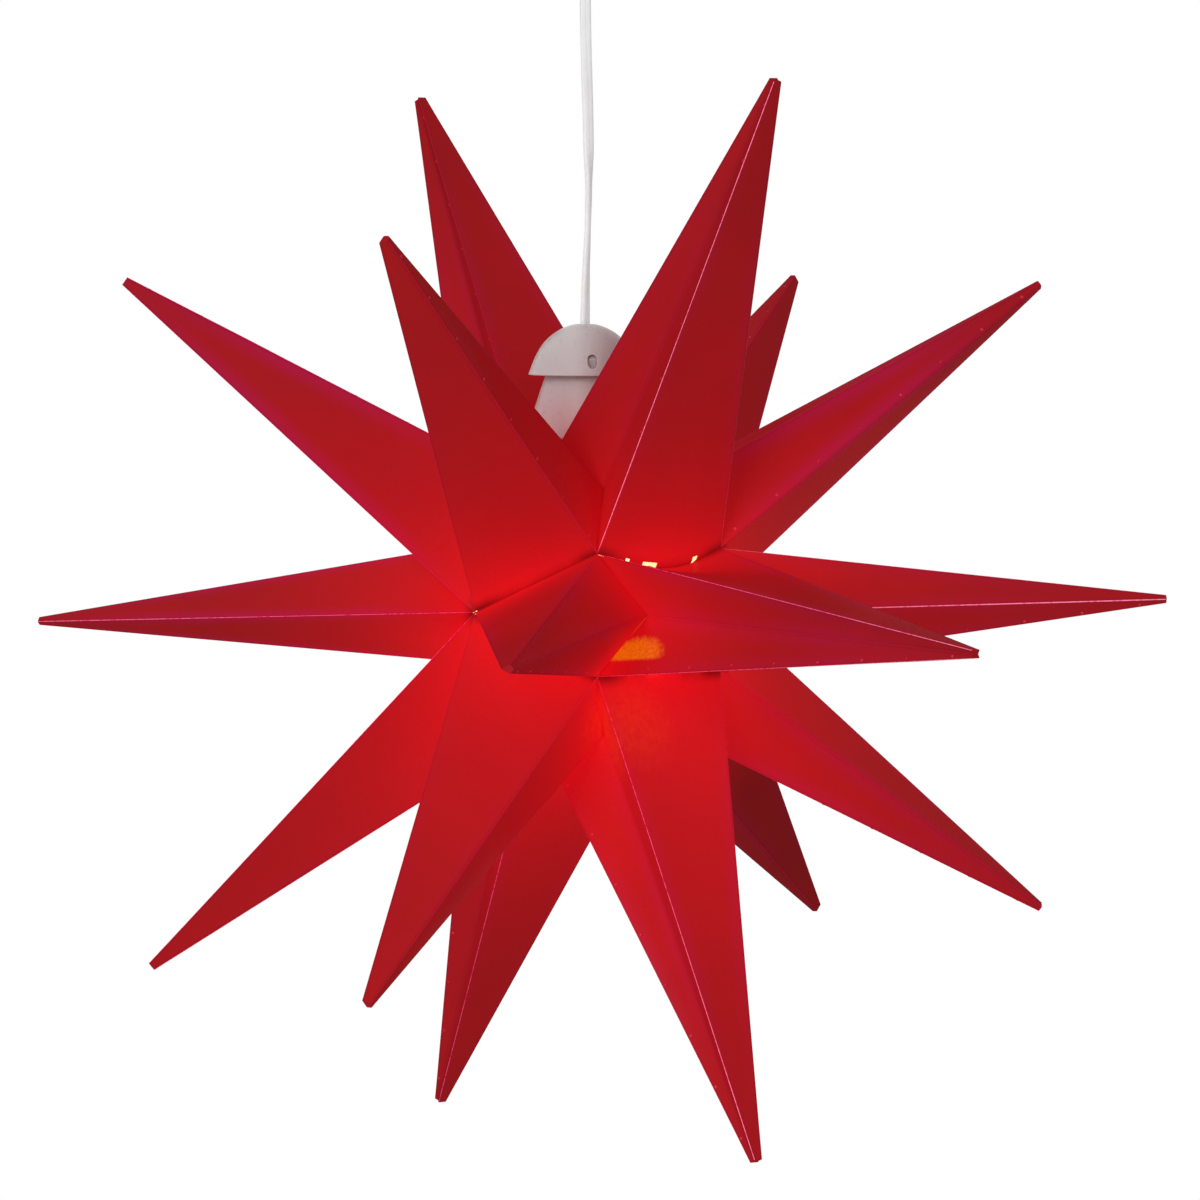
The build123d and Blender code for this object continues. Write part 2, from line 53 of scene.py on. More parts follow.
# How far each tip has settled: degrees round the level axis, then degrees of latitude.
LEAN = {
    "front": ((-2.5, 1.5), (2, 3), (7.5, 2), (3, 0), (1, 1), (-0.5, 0)),
    "middle": ((-1, -1), (0.5, -0.5), (1, 0), (2, 0), (3.5, -0.5), (-0.5, -2.5)),
    "rear": ((2, -3.5), (3, 5), (3, 1.5), (2, 0), (5, 1), (-1.5, 4.5)),
}
# How far the folds of each point show pink, at its tip and at its foot: partly whitened sheet, partly a
# painted highlight of the rounded fold.
CREASES = {
    "front": ((0.04, 0.04), (0.08, 0.08), (0.3, 0.3), (0.78, 0.38), (0.6, 0.4), (0.04, 0.04)),
    "middle": ((1.0, 0.42), (1.0, 1.0), (0.08, 0.08), (0.6, 0.4), (0.5, 0.5), (1.0, 0.33)),
    "rear": ((1.0, 0.8), (0.05, 0.05), (0.08, 0.08), (0.5, 0.4), (0.1, 0.1), (0.12, 0.12)),
}
# How much of the bulb's light each point carries to its tip.
CARRIED = {
    "front": (1.0, 1.0, 1.0, 0.9, 0.92, 1.0),
    "middle": (0.75, 1.2, 1.2, 1.0, 0.75, 1.2),
    "rear": (0.75, 1.3, 1.2, 1.0, 0.1, 1.1),
}
# How much painted violet sheen each point shows along its edges, a reflection of bluish light at grazing
# angles.
VIOLET_SHEEN = {
    "front": (0.3, 0.05, 1.0, 0.9, 0.1, 0.1),
    "middle": (0.6, 0.3, 0.3, 0.3, 0.2, 0.4),
    "rear": (0.3, 0.9, 0.3, 0.3, 0.3, 0.6),
}
# Point that shows a bright patch beside the bulb.
HOT_POINT = ("middle", 0)
# Slots in the hem of a middle seam: place from its rear end and half length, as shares of the seam.
SLOTS = ((0.19, 0.02), (0.55, 0.062), (0.74, 0.02))
# Columns of vertices across a panel as shares of its width: on a plain panel, and beside the slots.
PLAIN_SHARES = (0.15, 0.36, 0.5, 0.64, 0.85)
SLOT_SHARES = (0.34, 0.85)
# Rows of vertices along a panel, beyond those close to its foot.
LONG_ROWS = 16
# Added to distances from a foot edge without a hem and along the folds, so that the painted shade along the
# seam is faint there.
FAINT_SEAM_SHADE = 0.004
# Middle seams, counted from +X towards +Z: the one that the neck stands in, and the one that hangs slack.
OPEN_SEAM = 1
SLACK_SEAM = 0
# Rivets of a middle seam, in metres from its front end.
RIVET_PLACES = (0.016, 0.056)
# Outside of the flared neck: radius and height above the star centre.
NECK_CURVE = (
    (0.0178, 0.1105),
    (0.0194, 0.106),
    (0.0211, 0.101),
    (0.0234, 0.094),
    (0.0258, 0.087),
    (0.0279, 0.080),
)
# Top of the neck's flange above the star centre.
NECK_TOP = 0.1125
# Room for the lampholder between the sheets: radius, and foot above the star centre.
HOLDER_RADIUS = 0.0148
HOLDER_FOOT = 0.0430
# Route of the lead: place along Y and height above the star centre.
LEAD_ROUTE = (
    (0.0, 0.118),
    (0.0001, 0.148),
    (0.0022, 0.184),
    (0.0023, 0.222),
    (0.0003, 0.268),
    (0.0, 0.3104),
)
# Turn of the flat lead in degrees at heights above the star centre.
LEAD_TWIST = (
    (0.118, 0),
    (0.136, 7),
    (0.144, 16),
    (0.163, 33),
    (0.177, 43),
    (0.196, 36),
    (0.220, -17),
    (0.274, -37),
)
# Depth of the grain in moulded, rolled and turned surfaces.
GRAIN = 0.00003
BLACK = (0.0, 0.0, 0.0, 1.0)
# Size in pixels of the picture that the camera's shift is given in.
PICTURE = 1200.0


class Wire:
    """Output of a material node that takes part in Python arithmetic."""

    def __init__(self, paint, socket):
        self.paint = paint
        self.socket = socket

    def math(self, operation, *others):
        return self.paint.math(operation, self, *others)

    def __add__(self, other):
        return self.paint.math("ADD", self, other)

    def __radd__(self, other):
        return self.paint.math("ADD", other, self)

    def __sub__(self, other):
        return self.paint.math("SUBTRACT", self, other)

    def __rsub__(self, other):
        return self.paint.math("SUBTRACT", other, self)

    def __mul__(self, other):
        return self.paint.math("MULTIPLY", self, other)

    def __rmul__(self, other):
        return self.paint.math("MULTIPLY", other, self)

    def __truediv__(self, other):
        return self.paint.math("DIVIDE", self, other)

    def __rtruediv__(self, other):
        return self.paint.math("DIVIDE", other, self)

    def __pow__(self, other):
        return self.paint.math("POWER", self, other)


class Paint:
    """Node tree of one material, with its surface shader."""

    def __init__(self, name, **constants):
        self.material = bpy.data.materials.new(name)
        self.material.use_nodes = True
        self.tree = self.material.node_tree
        self.tree.nodes.clear()
        self.output = self.tree.nodes.new("ShaderNodeOutputMaterial")
        self.shader = self.tree.nodes.new("ShaderNodeBsdfPrincipled")
        self.tree.links.new(self.shader.outputs[0], self.output.inputs[0])
        for socket, value in constants.items():
            self.shader.inputs[socket.replace("_", " ")].default_value = value

    def node(self, kind, settings=None, values=None, out=0):
        """Add a node, set it up, then give its sockets values or links."""
        made = self.tree.nodes.new(kind)
        for key, value in (settings or {}).items():
            setattr(made, key, value)
        for key, value in (values or {}).items():
            self.feed(made.inputs[key], value)
        return Wire(self, made.outputs[out])

    def feed(self, socket, value):
        """Link a wire to a socket, or set the socket's own value."""
        if isinstance(value, Wire):
            self.tree.links.new(value.socket, socket)
        else:
            socket.default_value = value

    def set(self, socket, value):
        self.feed(self.shader.inputs[socket], value)

    def math(self, operation, *values):
        return self.node("ShaderNodeMath", {"operation": operation}, dict(enumerate(values)))

    def vector(self, operation, *values, out=0):
        return self.node("ShaderNodeVectorMath", {"operation": operation}, dict(enumerate(values)), out)

    def place(self):
        """Object coordinates in metres."""
        return self.node("ShaderNodeTexCoord", out=3)

    def spread(self, value, low, high, start=0.0, end=1.0, smooth=True):
        """Map a range of a value to another, clamped."""
        settings = {"interpolation_type": "SMOOTHSTEP" if smooth else "LINEAR"}
        return self.node("ShaderNodeMapRange", settings, {0: value, 1: low, 2: high, 3: start, 4: end})

    def blend(self, share, first, second):
        """Mix two colours by a share."""
        settings = {"data_type": "RGBA", "clamp_factor": True}
        return self.node("ShaderNodeMix", settings, {0: share, 6: first, 7: second}, 2)

    def noise(self, scale, detail=2.0, vector=None):
        values = {"Scale": scale, "Detail": detail, "Vector": vector or self.place()}
        return self.node("ShaderNodeTexNoise", None, values)

    def bump(self, height, distance, strength=1.0):
        values = {"Strength": strength, "Distance": distance, "Height": height}
        self.set("Normal", self.node("ShaderNodeBump", None, values))

    def split(self, vector):
        """The three numbers of a vector."""
        return [self.node("ShaderNodeSeparateXYZ", None, {0: vector}, axis) for axis in range(3)]

    def attribute(self, name):
        """Named vector of the mesh."""
        return self.node("ShaderNodeAttribute", {"attribute_name": name}, out=1)

    def number(self, name):
        """Named number of the mesh."""
        return self.node("ShaderNodeAttribute", {"attribute_name": name}, out=2)

    def lit(self, colour):
        """Give the surface light of its own, which isn't sampled as a lamp."""
        self.set("Emission Color", colour)
        self.material.cycles.emission_sampling = "NONE"


def rgb(red, green, blue):
    """Screen colour from 0 to 255 as a scene colour."""
    def linear(value):
        value /= 255.0
        return value / 12.92 if value <= 0.04045 else ((value + 0.055) / 1.055) ** 2.4

    return (linear(red), linear(green), linear(blue), 1.0)


def shade(colour, *factors):
    """Colour with each of its numbers times a factor."""
    if len(factors) == 1:
        factors = factors * 3
    return tuple(value * factor for value, factor in zip(colour, factors)) + (1.0,)


def length(name, description, default):
    return bpy.props.FloatProperty(name=name, description=description, default=default, unit="LENGTH")


def angle(name, description, degrees):
    return bpy.props.FloatProperty(
        name=name, description=description, default=math.radians(degrees), subtype="ANGLE"
    )


def colour(name, description, default):
    return bpy.props.FloatVectorProperty(
        name=name, description=description, default=default, size=4, subtype="COLOR"
    )


class StarSheet(bpy.types.PropertyGroup):
    drop: length("Drop", "Ceiling to star centre", 0.350)
    shift: length("Shift", "Star centre beside the lamp", 0.0065)
    middle_reach: length("Middle reach", "Centre to the cut end of a middle point", 0.280)
    outer_reach: length("Outer reach", "Centre to the cut end of a front or rear point", 0.268)
    latitude: angle("Latitude", "Lean of the outer rings", 46.0)
    tip_cut: length("Tip cut", "Length cut off each sharp tip", 0.016)
    thickness: length("Sheet", "Thickness of the sheet", 0.0006)
    corner_radius: length("Corner radius", "Valley corners from the level axis", 0.057)
    corner_side: length("Corner side", "Valley corners from the middle plane", 0.036)
    pole_side: length("Pole side", "Poles from the middle plane", 0.070)
    gusset_radius: length("Gusset radius", "Inner folds from the level axis", 0.066)
    gusset_side: length("Gusset side", "Inner folds from the middle plane", 0.020)
    hem: length("Hem", "Depth of the flaps along the seams", 0.008)
    fold: length("Fold", "Half width of a rounded fold", 0.00034)
    slot_height: length("Slot height", "Height of a slot above its seam", 0.0026)
    bow: length("Bow", "How far a panel bows", 0.0009)
    sag: length("Sag", "How far the slack seam hangs at its middle", 0.009)
    sag_run: length("Sag run", "How far from the slack seam its sheets are drawn down", 0.045)
    weld_step: length("Weld step", "Distance between weld dots", 0.027)
    weld_radius: length("Weld radius", "Radius of a weld dot", 0.0008)
    red: colour("Red", "Sheet colour", (0.25, 0.0076, 0.0092, 1.0))
    # Pink folds: whitened sheet with a painted highlight of the rounded fold.
    crease_and_highlight: colour("Crease", "Whitened folds", rgb(238, 130, 166))
    # Where the pink of a fold starts: partly whitening, partly painted highlight.
    faint_crease_and_highlight: colour("Bruise", "Folds that have only begun to whiten", rgb(214, 10, 92))
    glow: colour("Glow", "Light of the bulb through the sheet", (1.0, 0.005, 0.011, 1.0))
    hot: colour("Hot", "Light through the sheet next to the bulb", (0.66, 0.125, 0.0, 1.0))


class LampHead(bpy.types.PropertyGroup):
    dome_radius: length("Dome radius", "Radius of the cap's ball", 0.025)
    dome_wall: length("Dome wall", "Wall of the cap", 0.0018)
    dome_top: length("Dome top", "Top of the cap above the star centre", 0.133)
    dome_rim: length("Dome rim", "Rim of the cap above the star centre", 0.109)
    flare_top: length("Flare top", "Where the cap leaves the ball, above the star centre", 0.1176)
    rim_radius: length("Rim radius", "Radius of the cap's flared rim", 0.0265)
    hole_height: length("Hole height", "Middle of the cap's holes above the star centre", 0.1156)
    bulb_height: length("Bulb height", "Bulb's globe above the star centre", 0.006)
    milk: colour("Milk", "Milky plastic", (0.47, 0.405, 0.405, 1.0))
    light: colour("Light", "Colour of the lit globe", (1.0, 0.82, 0.5, 1.0))


class FlatLead(bpy.types.PropertyGroup):
    width: length("Width", "Width of the flat lead", 0.0052)
    thickness: length("Thickness", "Thickness of the flat lead", 0.0026)
    sheath: colour("Sheath", "Sheath of the lead", rgb(212, 212, 212))


class Studio(bpy.types.PropertyGroup):
    azimuth: angle("Azimuth", "Camera round the star", 53.4)
    elevation: angle("Elevation", "Camera above the star", 4.0)
    distance: length("Distance", "Camera to star centre", 2.584)
    lens: bpy.props.FloatProperty(name="Lens", description="Focal length in millimetres", default=164.7)
    floor_drop: length("Floor drop", "Floor below the star centre", 1.25)
    key: bpy.props.FloatProperty(name="Key", description="Power of the main lamp", default=35.0)


def sheet():
    return bpy.context.scene.star_sheet


def head():
    return bpy.context.scene.lamp_head


def centre():
    """Star centre in the part's frame."""
    return Vector((0.0, sheet().shift, -sheet().drop))


def level(height):
    """Height above the star centre as a height in the part's frame."""
    return height - sheet().drop


def around(degree, along, radius):
    turn = math.radians(degree)
    return centre() + Vector((radius * math.cos(turn), along, radius * math.sin(turn)))


def corner(column, side):
    return around(60 * column + 30, side * sheet().corner_side, sheet().corner_radius)


def gusset(column, side):
    return around(60 * column, side * sheet().gusset_side, sheet().gusset_radius)


def pole(side):
    return centre() + Vector((0.0, side * sheet().pole_side, 0.0))


def foot_of(column, side):
    """Corners round the foot of a point."""
    before = column - 1
    if side:
        return [corner(column, side), pole(side), corner(before, side), gusset(column, side)]
    return [
        corner(column, -1),
        corner(column, 1),
        gusset(column, 1),
        corner(before, 1),
        corner(before, -1),
        gusset(column, -1),
    ]


def sharp_of(ring, column, side):
    """Sharp tip of a point before it is cut, and the reach of its cut end."""
    turn, rise = LEAN[ring][column]
    reach = sheet().outer_reach if side else sheet().middle_reach
    latitude = side * sheet().latitude + math.radians(rise)
    full = reach + sheet().tip_cut
    return around(60 * column + turn, full * math.sin(latitude), full * math.cos(latitude)), reach


def new_object(name, data, *materials):
    """Link a mesh, curve, lamp or camera as an object at the origin, with its materials."""
    made = bpy.data.objects.new(name, data)
    bpy.context.scene.collection.objects.link(made)
    for material in materials:
        data.materials.append(material)
    return made


def settle(made):
    """Turn an object's modifiers into its plain mesh."""
    graph = bpy.context.evaluated_depsgraph_get()
    graph.update()
    mesh = bpy.data.meshes.new_from_object(made.evaluated_get(graph), depsgraph=graph)
    made.modifiers.clear()
    old = made.data
    made.data = mesh
    bpy.data.meshes.remove(old)
    return made


def carve(made, cutter):
    """Cut one object out of another, and remove the cutter."""
    cut = made.modifiers.new("cut", "BOOLEAN")
    cut.operation = "DIFFERENCE"
    cut.solver = "EXACT"
    cut.object = cutter
    settle(made)
    mesh = cutter.data
    bpy.data.objects.remove(cutter)
    bpy.data.meshes.remove(mesh)


def smooth(mesh, limit):
    """Shade a mesh smooth, with edges over a limit in degrees kept sharp."""
    mesh.polygons.foreach_set("use_smooth", [True] * len(mesh.polygons))
    mesh.set_sharp_from_angle(angle=math.radians(limit))


def bridge(made, low, high):
    """Join two closed rows of vertices with faces."""
    for index in range(len(low)):
        after = (index + 1) % len(low)
        made.faces.new((low[index], low[after], high[after], high[index]))


def spin_outline(made, outline, turns):
    """Add a closed outline of (radius, height) points turned about Z to a bmesh."""
    rows = []
    for radius, height in outline:
        row = []
        for index in range(turns):
            turn = 2 * math.pi * index / turns
            row.append(made.verts.new((radius * math.cos(turn), radius * math.sin(turn), height)))
        rows.append(row)
    for low, high in zip(rows, rows[1:] + rows[:1]):
        bridge(made, low, high)


def plain_mesh(made, name):
    """Turn a bmesh into a mesh, and free it."""
    mesh = bpy.data.meshes.new(name)
    made.to_mesh(mesh)
    made.free()
    return mesh


def close_mesh(made, name):
    """Turn a bmesh of closed shells into a mesh whose faces point outwards."""
    bmesh.ops.recalc_face_normals(made, faces=made.faces)
    return plain_mesh(made, name)


def arc(middle, radius, start, end, steps):
    """Points of an arc as (radius, height) pairs, with angles in degrees."""
    points = []
    for index in range(steps + 1):
        turn = math.radians(start + (end - start) * index / steps)
        points.append((middle[0] + radius * math.cos(turn), middle[1] + radius * math.sin(turn)))
    return points


def bulb_place():
    return (0.0, 0.0, level(head().bulb_height))


def hot_patch(paint, place, seam):
    """Share of the bright patch beside the bulb, and of the light along the fold above it."""
    x, y, z = paint.split(place)
    middle, height, tilt = 0.0690, -0.0178, 0.1
    half_width, half_height = 0.0175, 0.0084
    across = (x - middle) / half_width
    upward = (z - level(height) - (x - middle) * tilt) / half_height
    ragged = (paint.noise(480.0, 3.0) - 0.5) * 0.9
    inside = paint.spread(across * across + upward * upward + ragged, 0.4, 1.3, 1.0, 0.0)
    lower_edge = z - level(-0.0195) - (x - 0.0710) * 0.09
    inside = inside * paint.spread(lower_edge + ragged * 0.0012, -0.0006, 0.0012)
    inside = inside * paint.spread(y, -0.0165, -0.0140, 1.0, 0.0)
    inside = inside * paint.spread(paint.noise(900.0, 3.0), 0.3, 0.65, 0.6, 1.0)
    leak = paint.spread(seam, 0.0042, 0.0051, 0.32, 0.0) * paint.spread(y, -0.012, -0.010, 1.0, 0.0)
    leak = leak * paint.spread(z, level(-0.0110), level(-0.006))
    leak = leak * paint.spread(z, level(-0.0015), level(0.0), 1.0, 0.0)
    patch = paint.number("patch")
    return inside.math("MAXIMUM", leak) * patch


def warm_cloud(paint, place):
    """Share of the warm cloud where the bulb stands close behind the lower sheets."""
    apart = paint.vector("DISTANCE", (0.052, -0.014, level(-0.054)), place, out=1)
    mottled = paint.spread(paint.noise(260.0, 2.0), 0.3, 0.7, 0.4, 1.0)
    return paint.spread(apart, 0.008, 0.028, 0.1, 0.0) * mottled


def bulb_light(paint, place):
    """Share of the bulb's light that comes through at a place, and the distance to the bulb."""
    near, falloff, gain = 0.065, 1.4, 0.48
    # More of it goes down than up, past the lampholder.
    downward = 0.55
    toward = paint.vector("SUBTRACT", bulb_place(), place)
    distance = paint.vector("LENGTH", toward, out=1)
    upward = paint.split(paint.vector("NORMALIZE", toward))[2]
    return (near / distance) ** falloff * (1.0 + upward * downward) * gain, distance


def lit_sheet():
    """Red polypropylene lit through from the bulb, with pink folds that are partly whitened sheet and partly
    a painted highlight, a painted violet sheen at its edges and painted shade beside its folds and along its
    seams.
    """
    star = sheet()
    paint = Paint(
        "lit_red_sheet", Specular_IOR_Level=0.0, Coat_Weight=0.05, Coat_Roughness=0.32, Emission_Strength=1.0
    )
    place = paint.place()
    crease_and_highlight, edge, seam = paint.split(paint.attribute("fold"))
    through, distance = bulb_light(paint, place)
    cloud = paint.noise(16.0, 3.0)
    fleck = paint.noise(520.0, 2.0)
    red = tuple(star.red)
    dull, clear = shade(red, 0.93, 0.96, 1.0), shade(red, 1.04, 1.0, 1.0)
    body = paint.blend(paint.spread(cloud, 0.35, 0.7), dull, clear)
    # Painted violet sheen near the edges of each point, a reflection of bluish light at grazing angles.
    violet_sheen = paint.number("violet_sheen")
    violet_sheen = violet_sheen * paint.spread(distance, 0.06, 0.1) * paint.spread(distance, 0.17, 0.26, 1.0, 0.25)
    violet_sheen = violet_sheen * paint.spread(paint.noise(9.0, 1.0), 0.36, 0.6, 0.5, 1.0)
    body = paint.blend(violet_sheen * paint.spread(edge, 0.0, 0.010, 1.0, 0.03), body, shade(red, 1.05, 0.95, 4.4))
    # Painted shade right beside each fold.
    body = paint.blend(paint.spread(edge, 0.0003, 0.0018, 0.35, 0.0), body, shade(red, 0.55, 0.5, 1.2))
    # Pink along the outward folds: partly whitened sheet, partly a painted highlight of the rounded fold.
    whitening_and_highlight = crease_and_highlight * paint.spread(fleck, 0.25, 0.6, 0.5, 1.0)
    body = paint.blend(paint.spread(whitening_and_highlight, 0.0, 0.45, smooth=False), body, tuple(star.faint_crease_and_highlight))
    body = paint.blend(paint.spread(whitening_and_highlight, 0.3, 1.0, smooth=False), body, tuple(star.crease_and_highlight))
    paint.set("Base Color", body)
    carried = paint.number("carried")
    through = through * (1.0 + (carried - 1.0) * paint.spread(distance, 0.07, 0.19))
    # Painted shade along the seams: the light through the sheet is dimmed near them, most near the ends of a
    # seam.
    groove_shade = paint.spread(paint.noise(38.0, 1.0), 0.38, 0.62, 0.7, 1.0)
    groove_shade = groove_shade * paint.spread(edge, 0.004, 0.017, 0.3, 0.97)
    through = through * paint.spread(seam, 0.0, 0.007, groove_shade, 1.0)
    through = through * paint.spread(fleck, 0.2, 0.8, 0.96, 1.04)
    glow = paint.blend(through, BLACK, tuple(star.glow))
    warm = (1.4, 0.09, 0.0, 1.0)
    glow = paint.blend(warm_cloud(paint, place), glow, warm)
    paint.lit(paint.blend(hot_patch(paint, place, seam), glow, tuple(star.hot)))
    paint.set("Roughness", paint.spread(cloud, 0.3, 0.7, 0.42, 0.55))
    paint.bump(fleck * 0.6 + paint.noise(1400.0, 1.0) * 0.4, GRAIN, 0.5)
    return paint.material


def bright_inside():
    """Inner side of the sheet, flooded by the bulb."""
    paint = Paint("sheet_inner_side", Roughness=0.5, Emission_Strength=1.0)
    distance = paint.vector("LENGTH", paint.vector("SUBTRACT", bulb_place(), paint.place()), out=1)
    cloud = paint.noise(60.0, 2.0)
    paint.set("Base Color", paint.blend(cloud, rgb(140, 12, 22), rgb(160, 18, 26)))
    far = paint.spread(distance, 0.07, 0.17, 1.0, 0.0)
    deep, orange, pale = (0.30, 0.0, 0.004, 1.0), (1.0, 0.42, 0.06, 1.0), (1.4, 1.1, 0.5, 1.0)
    near = paint.spread(distance, 0.055, 0.095, 1.0, 0.0)
    paint.lit(paint.blend(near, paint.blend(far, deep, orange), pale))
    return paint.material


def moulded(name, colour, roughness=0.35, grain=900.0, **constants):
    """Moulded plastic with a faint grain and slow shifts of tone."""
    paint = Paint(name, **constants)
    cloud = paint.noise(35.0, 3.0)
    fine = paint.noise(grain, 2.0)
    paint.set("Base Color", paint.blend(paint.spread(cloud, 0.3, 0.7), shade(colour, 0.93), colour))
    paint.set("Roughness", paint.spread(fine, 0.2, 0.8, roughness - 0.06, roughness + 0.06))
    paint.bump(fine, GRAIN, 0.4)
    return paint.material


def metal(name, colour, roughness=0.28):
    """Plated metal with fine turning marks and dull patches."""
    paint = Paint(name, Metallic=1.0)
    x, y, z = paint.split(paint.place())
    stretched = paint.node("ShaderNodeCombineXYZ", None, {0: x * 40.0, 1: y * 40.0, 2: z * 1400.0})
    marks = paint.noise(1.0, 2.0, stretched)
    cloud = paint.noise(120.0, 3.0)
    paint.set("Base Color", paint.blend(paint.spread(cloud, 0.35, 0.75), colour, shade(colour, 0.8)))
    paint.set("Roughness", paint.spread(marks + cloud * 0.5, 0.4, 1.1, roughness - 0.08, roughness + 0.14))
    paint.bump(marks, GRAIN, 0.4)
    return paint.material


def milk_plastic():
    """Milky plastic of the cap and the neck, with painted red light from the star below it, painted shade and
    red light on one side, and a faint painted glow.
    """
    paint = Paint(
        "milky_plastic",
        IOR=1.49,
        Specular_IOR_Level=0.3,
        Subsurface_Weight=0.7,
        Subsurface_Scale=0.006,
        Subsurface_Radius=(1.0, 0.8, 0.8),
        Emission_Strength=1.0,
    )
    x, y, z = paint.split(paint.place())
    cloud = paint.noise(45.0, 3.0)
    milk = tuple(head().milk)
    low = paint.spread(z, level(0.076), level(0.116), 1.0, 0.0)
    # Painted red light from the star below: redder and darker towards the bottom.
    body = paint.blend(low * 0.9, milk, shade(milk, 0.95, 0.58, 0.6))
    # Painted shade, reddened by the star, on the side that faces the nearest point.
    beside = paint.spread(x * 0.6 + y * 0.8, -0.006, 0.017)
    body = paint.blend(beside * 0.85, body, shade(milk, 0.66, 0.42, 0.44))
    paint.set("Base Color", paint.blend(paint.spread(cloud, 0.35, 0.75) * 0.3, body, shade(milk, 0.92)))
    # Painted glow of light from inside, red towards the bottom.
    paint.lit(paint.blend(low, shade(milk, 0.05), shade(milk, 0.25, 0.07, 0.08)))
    paint.set("Roughness", paint.spread(paint.noise(300.0, 2.0), 0.3, 0.7, 0.26, 0.4))
    paint.bump(paint.noise(800.0, 2.0), GRAIN, 0.1)
    return paint.material


def lead_sheath():
    """Translucent sheath over two white cores, with painted shade in the groove between them and a painted
    glow that fades towards its top.
    """
    paint = Paint(
        "lead_sheath",
        IOR=1.5,
        Specular_IOR_Level=0.12,
        Subsurface_Weight=1.0,
        Subsurface_Scale=0.008,
        Subsurface_Radius=(1.0, 1.0, 1.0),
        Emission_Strength=1.0,
    )
    across, _, along = paint.split(paint.attribute("lay"))
    sheath = tuple(bpy.context.scene.flat_lead.sheath)
    # Painted shade in the groove between the cores.
    groove_shade = paint.spread(across.math("ABSOLUTE"), 0.0, 0.2, 1.0, 0.0)
    wander = paint.noise(55.0, 2.0)
    body = paint.blend(paint.spread(wander, 0.3, 0.75) * 0.3, sheath, shade(sheath, 0.92))
    paint.set("Base Color", paint.blend(groove_shade * 0.6, body, shade(sheath, 0.84)))
    # Painted glow, strongest at the foot of the lead, that evens out its shading.
    low = paint.spread(paint.split(paint.place())[2], level(0.118), level(0.24), 1.0, 0.0)
    paint.lit(paint.blend(low, BLACK, (0.10, 0.115, 0.115, 1.0)))
    paint.set("Roughness", paint.spread(wander, 0.3, 0.7, 0.3, 0.42))
    paint.bump(paint.math("SINE", along * 900.0 + across * 3.0) * 0.5 + wander, 0.00006, 0.12)
    return paint.material


def glowing(name, colour, strength, soft):
    """Lit surface that dims towards its top."""
    paint = Paint(name, Roughness=0.4, Emission_Strength=strength)
    height = head().bulb_height
    share = paint.spread(paint.split(paint.place())[2], level(height - 0.024), level(height + 0.02))
    paint.lit(paint.blend(share, tuple(colour), shade(colour, soft)))
    paint.set("Base Color", paint.blend(paint.noise(200.0, 2.0), rgb(240, 232, 214), rgb(250, 244, 230)))
    return paint.material


def slack(spot):
    """How far the slack seam hangs beside a place, most a little behind its middle."""
    front, rear = corner(SLACK_SEAM, -1), corner(SLACK_SEAM, 1)
    share = (spot.y - front.y) / (rear.y - front.y)
    away = (front.lerp(rear, 0.5) - sharp_of("middle", SLACK_SEAM + 1, 0)[0]).normalized()
    return away * sheet().sag * 4.0 * share * (1.0 - share) * (0.75 + 0.5 * share)


